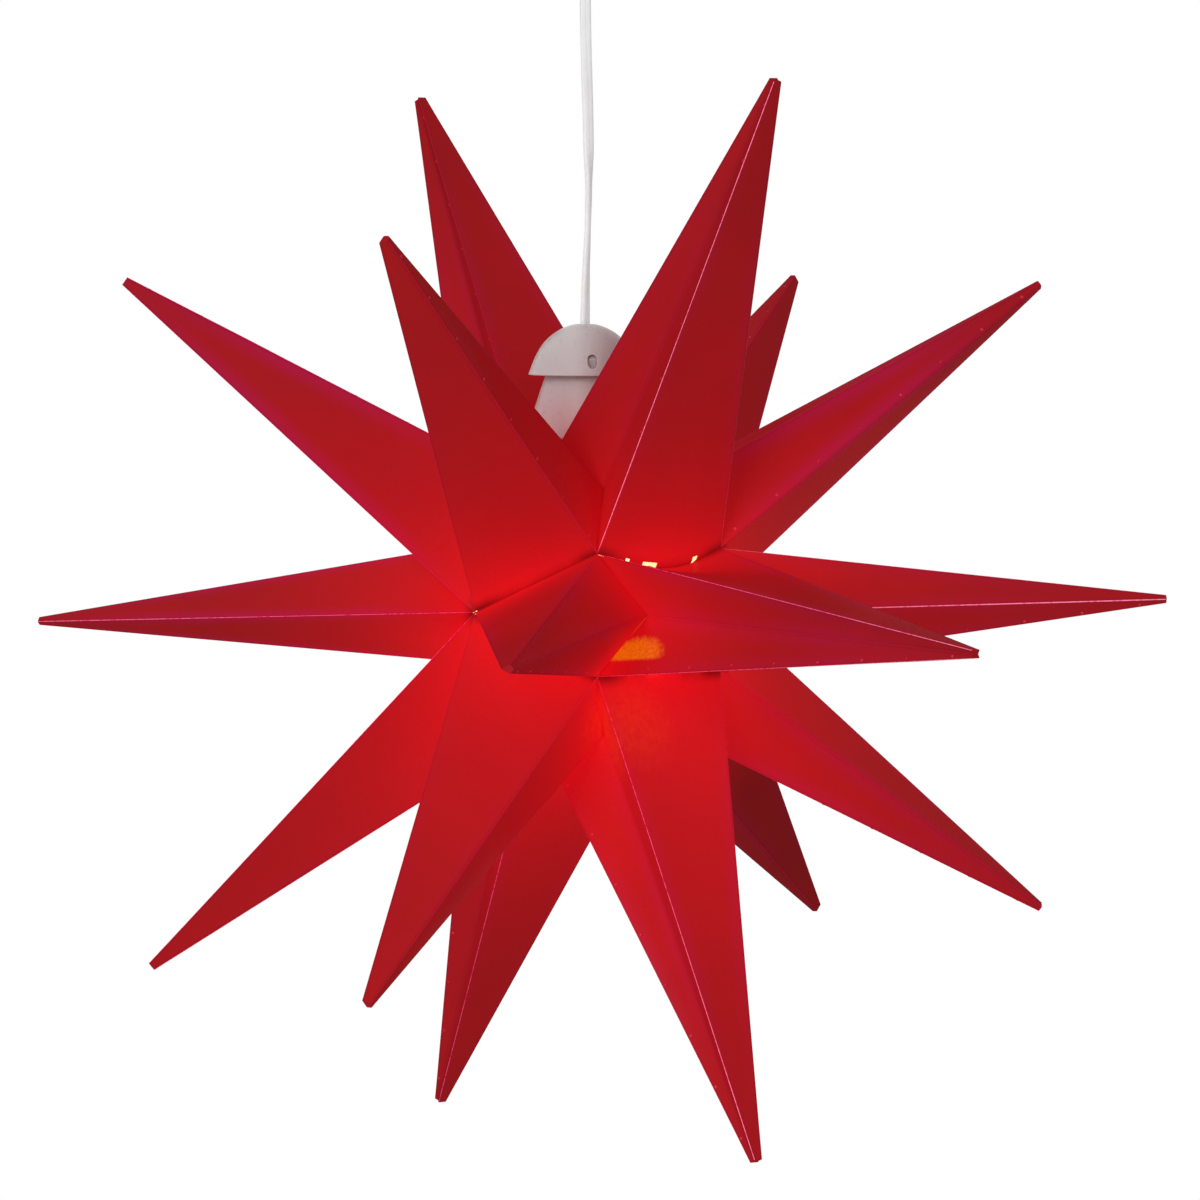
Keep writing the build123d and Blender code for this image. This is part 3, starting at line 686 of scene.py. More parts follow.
class Panel:
    """One flat face of a point, from its foot edge to the point's cut end."""

    def __init__(self, first, second, sharp, reach, chance, hemmed, slotted, sagging):
        self.first = first
        self.second = second
        self.sharp = sharp
        self.reach = reach
        self.hemmed = hemmed
        self.slotted = slotted
        self.sagging = sagging
        self.axis = (sharp - centre()).normalized()
        self.middle = (first + second) * 0.5
        self.outward = (second - first).cross(sharp - first).normalized()
        radial = self.middle - centre()
        radial -= self.axis * radial.dot(self.axis)
        if self.outward.dot(radial) < 0:
            self.outward.negate()
        along = (second - first).normalized()
        down = centre() - self.middle
        self.down = (down - along * down.dot(along)).normalized()
        self.own_side = along.cross(self.down)
        if self.own_side.dot(sharp - self.middle) < 0:
            self.own_side.negate()
        self.bow = sheet().bow * chance.uniform(-1.0, 0.7)
        self.wave = chance.uniform(0.0, math.pi)
        self.shares = list(PLAIN_SHARES)
        if slotted or sagging:
            self.shares = list(SLOT_SHARES)
            for place, half in SLOTS:
                self.shares += [place - half, place + half]
            if sagging and not slotted:
                self.shares = [1.0 - share for share in self.shares]
            self.shares.sort()
        self.count = len(self.shares) + 4

    def columns(self, width, distance=0.0):
        """Shares across the panel where it has a given width, at a distance from its foot."""
        opened = min(1.0, 0.3 + distance / 0.006)
        fold = min(sheet().fold * opened, 0.1 * width) / width
        inner = min(0.0016, 0.14 * width) / width
        return [fold, inner, *self.shares, 1.0 - inner, 1.0 - fold]

    def spot(self, column, distance):
        """Place on the panel, by column and distance from the foot edge."""
        full = (self.sharp - self.middle).length
        width = (self.second - self.first).length * (1.0 - distance / full)
        share = self.columns(width, distance)[column]
        base = self.first.lerp(self.second, share)
        part = distance / self.run()
        spot = base.lerp(self.sharp, part * self.cut_share(base))
        swell = 4.0 * share * (1.0 - share) * math.sin(math.pi * part)
        spot += self.outward * swell * (self.bow + 0.0004 * math.sin(7.0 * part + self.wave))
        if self.sagging:
            spot += slack(base) * math.exp(-((distance / sheet().sag_run) ** 2))
        if self.hemmed and distance < 1e-6 and 0 < column < self.count - 1:
            tuck = 0.0002
            spot += self.own_side * tuck - self.outward * tuck
        return spot

    def cut_share(self, base):
        """Share of the way from a place on the foot edge to the sharp tip at which the tip is cut."""
        cut = centre() + self.axis * self.reach
        return (cut - base).dot(self.axis) / (self.sharp - base).dot(self.axis)

    def run(self):
        """Length of the panel's middle line from the foot to the cut end."""
        return self.cut_share(self.middle) * (self.sharp - self.middle).length

    def hem_spot(self, column, depth):
        """Place on the hem, by column and depth below the seam."""
        share = self.columns((self.second - self.first).length)[column]
        base = self.first.lerp(self.second, share)
        spot = base + self.down * depth + self.own_side * 0.0001
        return spot + slack(base) if self.sagging else spot

    def in_slot(self, column):
        """Whether the strip after a column lies in a slot of the hem."""
        if not self.slotted or not 2 <= column < self.count - 3:
            return False
        middle = (self.shares[column - 2] + self.shares[column - 1]) / 2
        return any(abs(middle - place) < half for place, half in SLOTS)


def point_mesh(ring, side, column):
    """One folded point as a bare skin with rounded folds, hems and slots."""
    star = sheet()
    chance = random.Random(f"{ring} {column}")
    foot = foot_of(column, side)
    sharp, reach = sharp_of(ring, column, side)
    hemmed = (0, 1) if side else (0, 3)
    panels = []
    for index, (first, second) in enumerate(zip(foot, foot[1:] + foot[:1])):
        slotted = side == 0 and index == 3
        sagging = side == 0 and (column, index) in ((SLACK_SEAM, 0), (SLACK_SEAM + 1, 3))
        panels.append(Panel(first, second, sharp, reach, chance, index in hemmed, slotted, sagging))
    made = bmesh.new()
    layer = made.loops.layers.float_vector.new("fold")
    tip_pale, foot_pale = CREASES[ring][column]
    near = [0.0, 0.001, star.slot_height, 0.005, 0.011]

    def face(spots, facts):
        skin = made.faces.new(spots)
        skin.smooth = True
        for loop, fact in zip(skin.loops, facts):
            loop[layer] = fact

    grids = []
    for panel in panels:
        run = panel.run()
        long = range(1, LONG_ROWS + 1)
        distances = near + [near[-1] + (run - near[-1]) * step / LONG_ROWS for step in long]
        grid = []
        for far in distances:
            grid.append([made.verts.new(panel.spot(number, far)) for number in range(panel.count)])
        grids.append((grid, distances))
        for low, high, start, end in zip(grid, grid[1:], distances, distances[1:]):
            for number in range(panel.count - 1):
                if end <= star.slot_height and panel.in_slot(number):
                    continue
                spots = (low[number], low[number + 1], high[number + 1], high[number])
                facts = []
                for spot, far in zip(spots, (start, start, end, end)):
                    left = (spot.co - panel.first).cross((sharp - panel.first).normalized()).length
                    right = (spot.co - panel.second).cross((sharp - panel.second).normalized()).length
                    facts.append((0.0, min(left, right), far if panel.hemmed else far + FAINT_SEAM_SHADE))
                face(spots, facts)
        if panel.hemmed:
            hems = []
            for depth in (star.hem, 0.0005):
                row = []
                for number in range(panel.count):
                    deepest = (0.0008, 0.0016, star.hem)[min(number, panel.count - 1 - number, 2)]
                    row.append(made.verts.new(panel.hem_spot(number, min(depth, deepest))))
                hems.append(row)
            hems.append(grid[0])
            for low, high in zip(hems, hems[1:]):
                for number in range(panel.count - 1):
                    if not panel.in_slot(number):
                        spots = (low[number], low[number + 1], high[number + 1], high[number])
                        face(spots, [(0.0, 0.01, 0.0)] * 4)
    for index, (grid, distances) in enumerate(grids):
        after = grids[(index + 1) % len(grids)][0]
        ridge = foot[(index + 1) % len(foot)]
        convex = (panels[(index + 1) % len(panels)].second - ridge).dot(panels[index].outward) < 0
        whole = 0.0 if convex and tip_pale >= 0.5 else 1.0
        strips = zip(grid, grid[1:], after, after[1:], distances, distances[1:])
        for low, high, low_next, high_next, start, end in strips:
            spots = (low[-1], low_next[0], high_next[0], high[-1])
            facts = []
            for far in (start, start, end, end):
                pale = foot_pale + (tip_pale - foot_pale) * far / distances[-1]
                # Only outward folds get the pink, since its painted highlight part falls on convex folds.
                pale *= min(1.0, 0.3 + far / 0.009) if convex else 0.0
                facts.append((pale, 0.002 * whole, far + FAINT_SEAM_SHADE))
            face(spots, facts)
    end = [spot for grid, distances in grids for spot in grid[-1]]
    face(end, [(0.0, 0.001, reach)] * len(end))
    loose = [spot for spot in made.verts if not spot.link_faces]
    bmesh.ops.delete(made, geom=loose, context="VERTS")
    made.normal_update()
    made.faces.ensure_lookup_table()
    # A face well up the first panel tells which way all of them point.
    first_face = made.faces[panels[0].count * 8]
    if first_face.normal.dot(panels[0].outward) < 0:
        bmesh.ops.reverse_faces(made, faces=made.faces)
    return plain_mesh(made, f"sheet_{ring}_{column + 1}")


def neck_room():
    """Space that the neck and the lampholder take out of the sheets."""
    gap, axle = 0.0005, 0.0001
    foot, top = level(HOLDER_FOOT), level(NECK_TOP)
    wide, rim = NECK_CURVE[-1][0] + gap, level(NECK_CURVE[-1][1] - gap)
    outline = [(axle, foot), (HOLDER_RADIUS, foot), (HOLDER_RADIUS, rim), (wide, rim)]
    outline += [(radius + gap, level(height)) for radius, height in reversed(NECK_CURVE)]
    outline += [(HOLDER_RADIUS, top), (axle, top)]
    made = bmesh.new()
    spin_outline(made, outline, 72)
    return new_object("neck_room", close_mesh(made, "neck_room"))


class STARLAMP_OT_points(bpy.types.Operator):
    """Fold the eighteen points of red sheet"""

    bl_idname = "starlamp.points"
    bl_label = "Folded points"

    def execute(self, context):
        outside, inside = lit_sheet(), bright_inside()
        for ring, side in RINGS:
            for column in range(COLUMNS):
                mesh = point_mesh(ring, side, column)
                made = new_object(mesh.name, mesh, outside, inside)
                wall = made.modifiers.new("thickness", "SOLIDIFY")
                wall.thickness = sheet().thickness
                wall.offset = -1.0
                wall.material_offset = 1
                wall.material_offset_rim = 0
                settle(made)
                if side == 0 and column in (OPEN_SEAM, OPEN_SEAM + 1):
                    carve(made, neck_room())
                made.data.set_sharp_from_angle(angle=math.radians(60))
                shares = {
                    "carried": CARRIED[ring][column],
                    "violet_sheen": VIOLET_SHEEN[ring][column],
                    "patch": 1.0 if (ring, column) == HOT_POINT else 0.0,
                }
                for name, value in shares.items():
                    share = made.data.attributes.new(name, "FLOAT", "POINT")
                    share.data.foreach_set("value", [value] * len(made.data.vertices))
                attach(made, "pendant")
                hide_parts(f"{ring}_point_{column + 1}")
        return {"FINISHED"}


def weld_tree(material):
    """Node tree that lays weld dots along edges, flat on the sheet they are pressed in."""
    tree = bpy.data.node_groups.new("weld_dot_rows", "GeometryNodeTree")
    sockets = tree.interface
    sockets.new_socket("Geometry", in_out="INPUT", socket_type="NodeSocketGeometry")
    step = sockets.new_socket("Step", in_out="INPUT", socket_type="NodeSocketFloat")
    radius = sockets.new_socket("Radius", in_out="INPUT", socket_type="NodeSocketFloat")
    sockets.new_socket("Geometry", in_out="OUTPUT", socket_type="NodeSocketGeometry")

    def node(kind, settings=None, **values):
        made = tree.nodes.new(kind)
        for key, value in (settings or {}).items():
            setattr(made, key, value)
        for key, value in values.items():
            socket = made.inputs[key.replace("_", " ")]
            if isinstance(value, bpy.types.NodeSocket):
                tree.links.new(value, socket)
            else:
                socket.default_value = value
        return made

    start = node("NodeGroupInput")
    curve = node("GeometryNodeMeshToCurve", Mesh=start.outputs["Geometry"])
    spaced = node(
        "GeometryNodeResampleCurve", {"mode": "LENGTH"}, Curve=curve.outputs[0], Length=start.outputs["Step"]
    )
    points = node("GeometryNodeCurveToPoints", {"mode": "EVALUATED"}, Curve=spaced.outputs[0])
    facing = node("GeometryNodeInputNamedAttribute", {"data_type": "FLOAT_VECTOR"}, Name="facing")
    turn = node("FunctionNodeAlignRotationToVector", {"axis": "Z"}, Vector=facing.outputs[0])
    dot = node("GeometryNodeMeshUVSphere", Segments=12, Rings=6, Radius=start.outputs["Radius"])
    flat = node("GeometryNodeTransform", Geometry=dot.outputs["Mesh"], Scale=(1.0, 1.0, 0.2))
    laid = node(
        "GeometryNodeInstanceOnPoints",
        Points=points.outputs[0],
        Instance=flat.outputs[0],
        Rotation=turn.outputs[0],
    )
    real = node("GeometryNodeRealizeInstances", Geometry=laid.outputs[0])
    shaded = node("GeometryNodeSetShadeSmooth", Geometry=real.outputs[0])
    paint = node("GeometryNodeSetMaterial", Geometry=shaded.outputs[0], Material=material)
    node("NodeGroupOutput", Geometry=paint.outputs[0])
    return tree, step.identifier, radius.identifier


def weld_lines():
    """Edges beside the closing fold of each point, with the way its sheet faces."""
    star = sheet()
    spots, edges, ways = [], [], []
    for ring, side in RINGS:
        for column in range(COLUMNS):
            foot = foot_of(column, side)
            sharp = sharp_of(ring, column, side)[0]
            index = 2 if side else 4
            first = foot[index]
            second = foot[(index + 1) % len(foot)]
            fold = (first - sharp).normalized()
            across = (second - sharp).normalized()
            across = (across - fold * across.dot(fold)).normalized()
            way = fold.cross(across).normalized()
            if way.dot((first + second) * 0.5 - centre()) < 0:
                way = -way
            start, steps = star.tip_cut + 0.012, 7
            beside_tip, beside_foot = 0.0016, 0.0028
            near = sharp + fold * start + across * beside_tip
            far = sharp + fold * (start + steps * star.weld_step) + across * beside_foot
            edges.append((len(spots), len(spots) + 1))
            spots += [near, far]
            ways += [way, way]
    return spots, edges, ways


class STARLAMP_OT_weld_dots(bpy.types.Operator):
    """Press the rows of weld dots that close each point"""

    bl_idname = "starlamp.weld_dots"
    bl_label = "Weld dots"

    def execute(self, context):
        star = sheet()
        paint = Paint("weld_dot", Roughness=0.5, Specular_IOR_Level=0.05, Emission_Strength=1.0)
        share = paint.spread(paint.noise(700.0, 2.0), 0.35, 0.65)
        paint.set("Base Color", paint.blend(share, rgb(138, 18, 26), rgb(186, 44, 66)))
        through = bulb_light(paint, paint.place())[0]
        paint.lit(paint.blend(through, BLACK, tuple(star.glow)))
        spots, edges, ways = weld_lines()
        mesh = bpy.data.meshes.new("weld_dots")
        mesh.from_pydata(spots, edges, [])
        facing = mesh.attributes.new("facing", "FLOAT_VECTOR", "POINT")
        facing.data.foreach_set("vector", np.array(ways, float).ravel())
        made = new_object("weld_dots", mesh, paint.material)
        tree, step, radius = weld_tree(paint.material)
        rule = made.modifiers.new("rows", "NODES")
        rule.node_group = tree
        rule[step] = star.weld_step
        rule[radius] = star.weld_radius
        settle(made)
        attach(made, "pendant")
        return {"FINISHED"}


def hole_turns():
    """Directions of the cap's four oval holes."""
    return [math.radians(-28.0 + 90.0 * index) for index in range(4)]


def oval_cutter():
    """Bars that cut the oval holes of the cap."""
    made = bmesh.new()
    half, straight, sides = 0.0023, 0.00095, 32
    inner, outer = 0.017, 0.031
    for turn in hole_turns():
        near, far = [], []
        for step in range(sides):
            angle = 2 * math.pi * (step + 0.5) / sides
            wide = half * math.cos(angle)
            tall = half * math.sin(angle) + math.copysign(straight, math.sin(angle))
            for radius, row in ((inner, near), (outer, far)):
                x = radius * math.cos(turn) - wide * math.sin(turn)
                y = radius * math.sin(turn) + wide * math.cos(turn)
                row.append(made.verts.new((x, y, level(head().hole_height) + tall)))
        made.faces.new(near)
        made.faces.new(far)
        bridge(made, near, far)
    return new_object("cap_holes", close_mesh(made, "cap_holes"))


class STARLAMP_OT_dome(bpy.types.Operator):
    """Mould the milky cap with its flared rim and oval holes"""

    bl_idname = "starlamp.dome"
    bl_label = "Cap"

    def execute(self, context):
        lamp = head()
        wall = lamp.dome_wall
        ball = level(lamp.dome_top) - lamp.dome_radius
        rim, flare_top = level(lamp.dome_rim), level(lamp.flare_top)
        start = math.degrees(math.asin((flare_top - ball) / lamp.dome_radius))
        bore, boss, boss_end = 0.0043, 0.0070, level(0.124)
        ease = 0.0003
        # Degrees up the ball at which the cap's outside meets its bore and its inside meets the boss.
        crown, inner_crown = 78.5, 71.0
        inner = lamp.dome_radius - wall
        flare = [(0.0239, 0.1158), (0.0246, 0.1141), (0.0255, 0.1117)]
        flare = [(radius, level(height)) for radius, height in flare]
        outline = [(lamp.rim_radius - ease, rim), (lamp.rim_radius, rim + ease)]
        outline += list(reversed(flare))
        outline += arc((0.0, ball), lamp.dome_radius, start, crown, 28)
        top = level(lamp.dome_top)
        outline += [(bore + 0.0004, top - 0.0004), (bore, top - 0.0009)]
        outline += [(bore, boss_end), (boss - ease, boss_end), (boss, boss_end + ease)]
        outline.append((boss, ball + math.sqrt(inner**2 - boss**2)))
        inner_start = math.degrees(math.asin((flare_top - ball) / inner))
        outline += arc((0.0, ball), inner, inner_crown, inner_start, 22)
        outline += [(radius - wall, height) for radius, height in flare]
        outline += [(lamp.rim_radius - wall, rim + ease), (lamp.rim_radius - wall + ease, rim)]
        made = bmesh.new()
        spin_outline(made, outline, 144)
        cap = new_object("cap", close_mesh(made, "cap"), milk_plastic())
        carve(cap, oval_cutter())
        smooth(cap.data, 35)
        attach(cap, "dome")
        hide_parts("dome_cap")
        return {"FINISHED"}


class STARLAMP_OT_neck(bpy.types.Operator):
    """Mould the flared neck with the lugs behind the cap's holes"""

    bl_idname = "starlamp.neck"
    bl_label = "Neck"

    def execute(self, context):
        wall, bore, flange, ease = 0.0016, 0.0051, 0.0192, 0.0004
        flange_ease = 0.0003
        outside = [(radius, level(height)) for radius, height in NECK_CURVE]
        top, plate = level(NECK_TOP), outside[0][1]
        wide, rim = outside[-1]
        outline = [(bore, plate), (bore, top), (flange, top), (flange + flange_ease, top - flange_ease)]
        outline += [(flange + flange_ease, plate + flange_ease), (flange, plate)]
        outline += outside[:-1]
        outline += [(wide, rim + ease), (wide - ease, rim)]
        outline += [(wide - wall + ease, rim), (wide - wall, rim + ease)]
        outline += [(radius - wall, height) for radius, height in reversed(outside[:-1])]
        made = bmesh.new()
        spin_outline(made, outline, 120)
        low, high = level(0.1124), level(0.1191)
        profile = ((0.0128, low), (0.0209, low), (0.0209, high - 0.0023), (0.0190, high), (0.0128, high))
        half_width = 0.0027
        lugs = bmesh.new()
        for angle in hole_turns():
            turn = Matrix.Rotation(angle, 4, "Z")
            sides = []
            for y in (-half_width, half_width):
                sides.append([lugs.verts.new(turn @ Vector((x, y, z))) for x, z in profile])
            lugs.faces.new(sides[0])
            lugs.faces.new(sides[1])
            bridge(lugs, *sides)
        bmesh.ops.recalc_face_normals(lugs, faces=lugs.faces)
        bmesh.ops.bevel(lugs, geom=list(lugs.edges), offset=0.0003, segments=2, profile=0.5, affect="EDGES")
        posts = plain_mesh(lugs, "neck_lugs")
        made.from_mesh(posts)
        bpy.data.meshes.remove(posts)
        neck = new_object("flared_neck", close_mesh(made, "flared_neck"), bpy.data.materials["milky_plastic"])
        smooth(neck.data, 35)
        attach(neck, "pendant")
        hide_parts("neck_bell")
        return {"FINISHED"}


def lead_path():
    """Places along the lead, from its route as a smooth curve."""
    line = bpy.data.curves.new("lead_line", "CURVE")
    line.dimensions = "3D"
    line.resolution_u = 16
    spline = line.splines.new("NURBS")
    spline.points.add(len(LEAD_ROUTE) - 1)
    for point, (along, height) in zip(spline.points, LEAD_ROUTE):
        point.co = (0.0, along, level(height), 1.0)
    spline.order_u = 3
    spline.use_endpoint_u = True
    guide = new_object("lead_line", line)
    graph = bpy.context.evaluated_depsgraph_get()
    graph.update()
    walked = bpy.data.meshes.new_from_object(guide.evaluated_get(graph), depsgraph=graph)
    path = [vertex.co.copy() for vertex in walked.vertices]
    bpy.data.meshes.remove(walked)
    bpy.data.objects.remove(guide)
    bpy.data.curves.remove(line)
    return path


def twist_at(height):
    """Turn of the flat lead, in degrees, at a height above the star centre."""
    for (low, first), (high, second) in zip(LEAD_TWIST, LEAD_TWIST[1:]):
        if height <= high:
            share = min(1.0, max(0.0, (height - low) / (high - low)))
            return first + (second - first) * share * share * (3.0 - 2.0 * share)
    return LEAD_TWIST[-1][1]


class STARLAMP_OT_lead(bpy.types.Operator):
    """Hang the flat twin lead"""

    bl_idname = "starlamp.lead"
    bl_label = "Flat lead"

    def execute(self, context):
        lead = context.scene.flat_lead
        path = lead_path()
        made = bmesh.new()
        layer = made.loops.layers.float_vector.new("lay")
        core = lead.thickness / 2
        reach = lead.width / 2 - core
        section, sides = [], 40
        for step in range(sides):
            turn = 2 * math.pi * (step + 0.5) / sides
            wide = math.copysign(reach, math.cos(turn)) + core * math.cos(turn)
            pinch = 1.0 - 0.3 * math.exp(-((wide / (0.9 * reach)) ** 2))
            section.append((wide, core * math.sin(turn) * pinch, step / sides))
        rows = []
        run = 0.0
        for index, spot in enumerate(path):
            if index:
                run += (spot - path[index - 1]).length
            ahead = (path[min(index + 1, len(path) - 1)] - path[max(index - 1, 0)]).normalized()
            turn = math.radians(90.0 + twist_at(spot.z - level(0.0)))
            flat = Vector((math.cos(turn), math.sin(turn), 0.0))
            flat = (flat - ahead * flat.dot(ahead)).normalized()
            thin = ahead.cross(flat)
            row = []
            for wide, tall, share in section:
                fact = (2 * wide / lead.width, share, run)
                row.append((made.verts.new(spot + flat * wide + thin * tall), fact))
            rows.append(row)
        for low, high in zip(rows, rows[1:]):
            for index in range(sides):
                after = (index + 1) % sides
                ends = (low[index], low[after], high[after], high[index])
                face = made.faces.new([spot for spot, fact in ends])
                face.smooth = True
                for loop, (spot, fact) in zip(face.loops, ends):
                    loop[layer] = fact
        made.faces.new([spot for spot, fact in rows[0]])
        made.faces.new([spot for spot, fact in rows[-1]])
        cord = new_object("flat_lead", close_mesh(made, "flat_lead"), lead_sheath())
        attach(cord, "pendant")
        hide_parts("cord")
        return {"FINISHED"}


def dress(material, *nodes):
    """Give CAD nodes a finish."""
    for name in nodes:
        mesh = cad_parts[name].data
        mesh.materials.clear()
        mesh.materials.append(material)


def seam_rivets():
    """Copy of the middle seams' rivets, with those of the slack seam down in its hem."""
    made = bmesh.new()
    made.from_mesh(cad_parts["middle_seam_rivets"].data)
    bmesh.ops.remove_doubles(made, verts=made.verts, dist=1e-6)
    first, second = corner(SLACK_SEAM, -1), corner(SLACK_SEAM, 1)
    along = (second - first).normalized()
    for spot in made.verts:
        place = (spot.co - first).dot(along)
        if (spot.co - first - along * place).length < 0.012:
            nearest = min(RIVET_PLACES, key=lambda rivet: abs(rivet - place))
            spot.co += slack(first + along * nearest)
    return plain_mesh(made, "middle_rivets")


class STARLAMP_OT_fittings(bpy.types.Operator):
    """Finish the lampholder, the seams' fasteners and the cord grip"""

    bl_idname = "starlamp.fittings"
    bl_label = "Holder and fasteners"

    def execute(self, context):
        holder = moulded("holder_plastic", rgb(212, 210, 206), 0.38)
        dress(holder, "lampholder_body", "shade_ring", "cord_grip")
        rivet = moulded("red_rivet_plastic", rgb(140, 12, 24), 0.4)
        dress(rivet, "front_seam_rivets", "rear_seam_rivets")
        rivets = new_object("middle_rivets", seam_rivets(), rivet)
        smooth(rivets.data, 30)
        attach(rivets, "pendant")
        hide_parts("middle_seam_rivets")
        dress(metal("nickel_stud", (0.72, 0.71, 0.69, 1.0), 0.24), "seam_press_studs")
        dress(metal("zinc_plate", (0.66, 0.67, 0.68, 1.0), 0.3), "threaded_nipple", "locknut", "grip_screw")
        dress(metal("brass_contact", (0.80, 0.60, 0.28, 1.0), 0.22), "screw_shell", "centre_contact")
        dress(moulded("seal_rubber", rgb(38, 38, 38), 0.7, 500.0), "holder_seal")
        dress(moulded("brown_insulation", rgb(112, 70, 44), 0.45), "holder_leads")
        return {"FINISHED"}


class STARLAMP_OT_bulb(bpy.types.Operator):
    """Light the bulb"""

    bl_idname = "starlamp.bulb"
    bl_label = "Bulb"

    def execute(self, context):
        dress(glowing("opal_globe", head().light, 3.0, 0.7), "bulb_globe")
        dress(glowing("lit_chip", (1.0, 0.85, 0.5, 1.0), 6.0, 1.0), "led_chips")
        dress(moulded("bulb_plastic", rgb(216, 215, 212), 0.3), "bulb_body")
        dress(moulded("board_white", rgb(228, 228, 224), 0.4), "led_board")
        dress(metal("nickel_cap", (0.74, 0.73, 0.71, 1.0), 0.25), "bulb_screw_cap")
        dress(metal("solder_tip", (0.70, 0.70, 0.71, 1.0), 0.35), "bulb_tip_contact")
        dress(moulded("black_glaze", rgb(26, 24, 26), 0.12), "bulb_insulator")
        return {"FINISHED"}


class STARLAMP_OT_ceiling(bpy.types.Operator):
    """Finish the ceiling fitting"""

    bl_idname = "starlamp.ceiling"
    bl_label = "Ceiling fitting"

    def execute(self, context):
        white = moulded("ceiling_white", rgb(208, 207, 204), 0.42, Specular_IOR_Level=0.25)
        dress(white, "ceiling_plate", "ceiling_cup", "cord_gland")
        dress(moulded("block_white", rgb(206, 205, 200), 0.42), "terminal_block")
        dress(bpy.data.materials["zinc_plate"], "terminal_screws", "cup_screws")
        dress(bpy.data.materials["brown_insulation"], "ceiling_leads")
        dress(moulded("knot_sheath", rgb(222, 222, 220), 0.34), "cord_knot")
        return {"FINISHED"}


def white_world():
    """Even studio light that shows as plain white behind the object."""
    world = bpy.data.worlds.new("studio_white")
    world.use_nodes = True
    nodes, links = world.node_tree.nodes, world.node_tree.links
    nodes.clear()
    out = nodes.new("ShaderNodeOutputWorld")
    seen, soft = nodes.new("ShaderNodeBackground"), nodes.new("ShaderNodeBackground")
    seen.inputs["Color"].default_value = (1.0, 1.0, 1.0, 1.0)
    soft.inputs["Color"].default_value = (0.97, 0.98, 1.0, 1.0)
    soft.inputs["Strength"].default_value = 0.52
    rays = nodes.new("ShaderNodeLightPath")
    mix = nodes.new("ShaderNodeMixShader")
    share = rays.outputs["Is Camera Ray"]
    for name in ("Is Glossy Ray", "Is Transmission Ray"):
        most = nodes.new("ShaderNodeMath")
        most.operation = "MAXIMUM"
        links.new(share, most.inputs[0])
        links.new(rays.outputs[name], most.inputs[1])
        share = most.outputs[0]
    links.new(share, mix.inputs[0])
    links.new(soft.outputs[0], mix.inputs[1])
    links.new(seen.outputs[0], mix.inputs[2])
    links.new(mix.outputs[0], out.inputs[0])
    return world


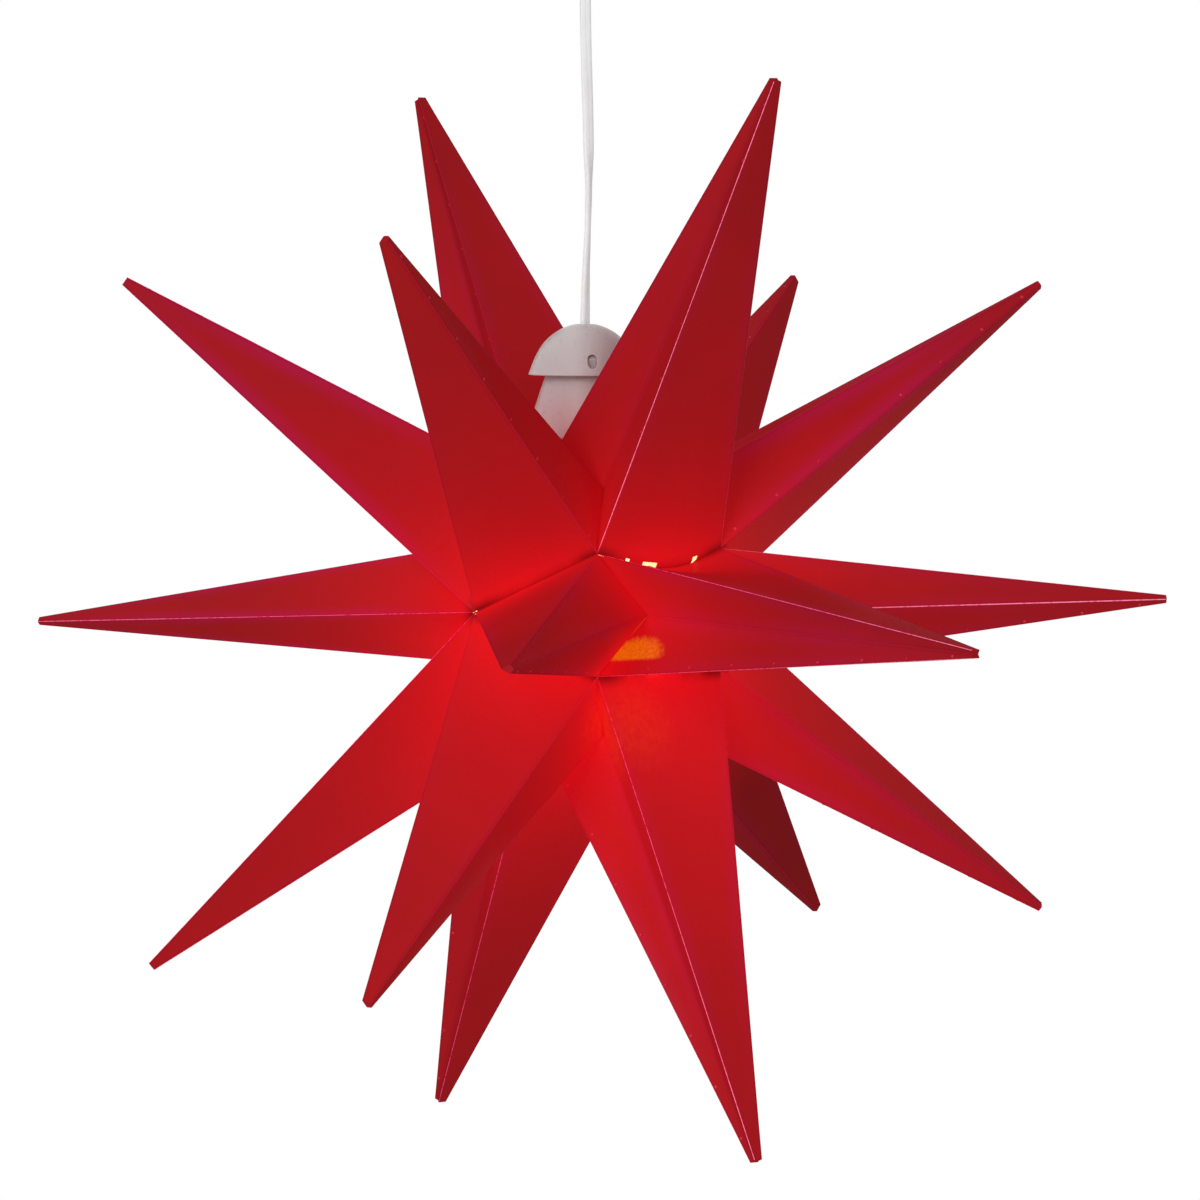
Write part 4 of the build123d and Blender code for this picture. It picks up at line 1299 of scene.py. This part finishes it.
class STARLAMP_OT_stage(bpy.types.Operator):
    """Set the floor, the lamps and the camera"""

    bl_idname = "starlamp.stage"
    bl_label = "Studio"

    def execute(self, context):
        scene = context.scene
        studio = scene.studio
        scene.view_settings.view_transform = "Standard"
        scene.world = white_world()
        middle = centre()
        floor = bmesh.new()
        bmesh.ops.create_circle(floor, cap_ends=True, segments=96, radius=2.2)
        paint = Paint("pale_floor", Roughness=0.6)
        paint.set("Base Color", paint.blend(paint.noise(3.0, 2.0), rgb(238, 238, 238), rgb(242, 242, 242)))
        ground = new_object("floor", plain_mesh(floor, "floor"), paint.material)
        ground.location = (0.0, 0.0, middle.z - studio.floor_drop)
        turn, rise = studio.azimuth, studio.elevation
        ahead = Vector((math.sin(turn), -math.cos(turn), 0.0))
        right = Vector((math.cos(turn), math.sin(turn), 0.0))
        up = Vector((0.0, 0.0, 1.0))
        back = ahead * math.cos(rise) + up * math.sin(rise)
        camera = new_object("camera", bpy.data.cameras.new("camera"))
        camera.data.sensor_width = 36.0
        camera.data.lens = studio.lens
        camera.data.shift_x = 4.0 / PICTURE
        camera.data.shift_y = 6.0 / PICTURE
        camera.data.clip_end = 50.0
        camera.location = middle + back * studio.distance
        camera.rotation_mode = "QUATERNION"
        camera.rotation_quaternion = (-back).to_track_quat("-Z", "Y")
        scene.camera = camera
        lamps = (
            ("key", -0.8 * right + 0.6 * up + 2.0 * ahead, 1.2, studio.key),
            ("fill", 1.6 * right + 0.2 * up + 1.5 * ahead, 1.4, studio.key * 0.12),
            ("top", -0.2 * right + 1.9 * up - 0.4 * ahead, 1.3, studio.key * 0.12),
        )
        for name, offset, size, power in lamps:
            light = bpy.data.lights.new(name, "AREA")
            light.shape = "DISK"
            light.size = size
            light.energy = power
            made = new_object(name, light)
            made.location = middle + offset
            made.rotation_mode = "QUATERNION"
            made.rotation_quaternion = (-offset).to_track_quat("-Z", "Y")
        return {"FINISHED"}


class STARLAMP_PT_sidebar(bpy.types.Panel):
    """Steps that make the star lamp"""

    bl_label = "Star lamp"
    bl_idname = "STARLAMP_PT_sidebar"
    bl_space_type = "VIEW_3D"
    bl_region_type = "UI"
    bl_category = "Star lamp"

    def draw(self, context):
        for step in STEPS:
            self.layout.operator(step.bl_idname)
        for name in GROUPS:
            group = getattr(context.scene, name)
            box = self.layout.box()
            for key in group.__annotations__:
                box.prop(group, key)


GROUPS = {"star_sheet": StarSheet, "lamp_head": LampHead, "flat_lead": FlatLead, "studio": Studio}
STEPS = (
    STARLAMP_OT_stage,
    STARLAMP_OT_lead,
    STARLAMP_OT_points,
    STARLAMP_OT_weld_dots,
    STARLAMP_OT_dome,
    STARLAMP_OT_neck,
    STARLAMP_OT_fittings,
    STARLAMP_OT_bulb,
    STARLAMP_OT_ceiling,
)


def register():
    for group in GROUPS.values():
        bpy.utils.register_class(group)
    for step in STEPS:
        bpy.utils.register_class(step)
    bpy.utils.register_class(STARLAMP_PT_sidebar)
    for name, group in GROUPS.items():
        setattr(bpy.types.Scene, name, bpy.props.PointerProperty(type=group))


def unregister():
    for name in GROUPS:
        delattr(bpy.types.Scene, name)
    bpy.utils.unregister_class(STARLAMP_PT_sidebar)
    for step in reversed(STEPS):
        bpy.utils.unregister_class(step)
    for group in reversed(list(GROUPS.values())):
        bpy.utils.unregister_class(group)


def main():
    register()
    for step in STEPS:
        group, name = step.bl_idname.split(".")
        getattr(getattr(bpy.ops, group), name)()


if __name__ == "__main__":
    main()
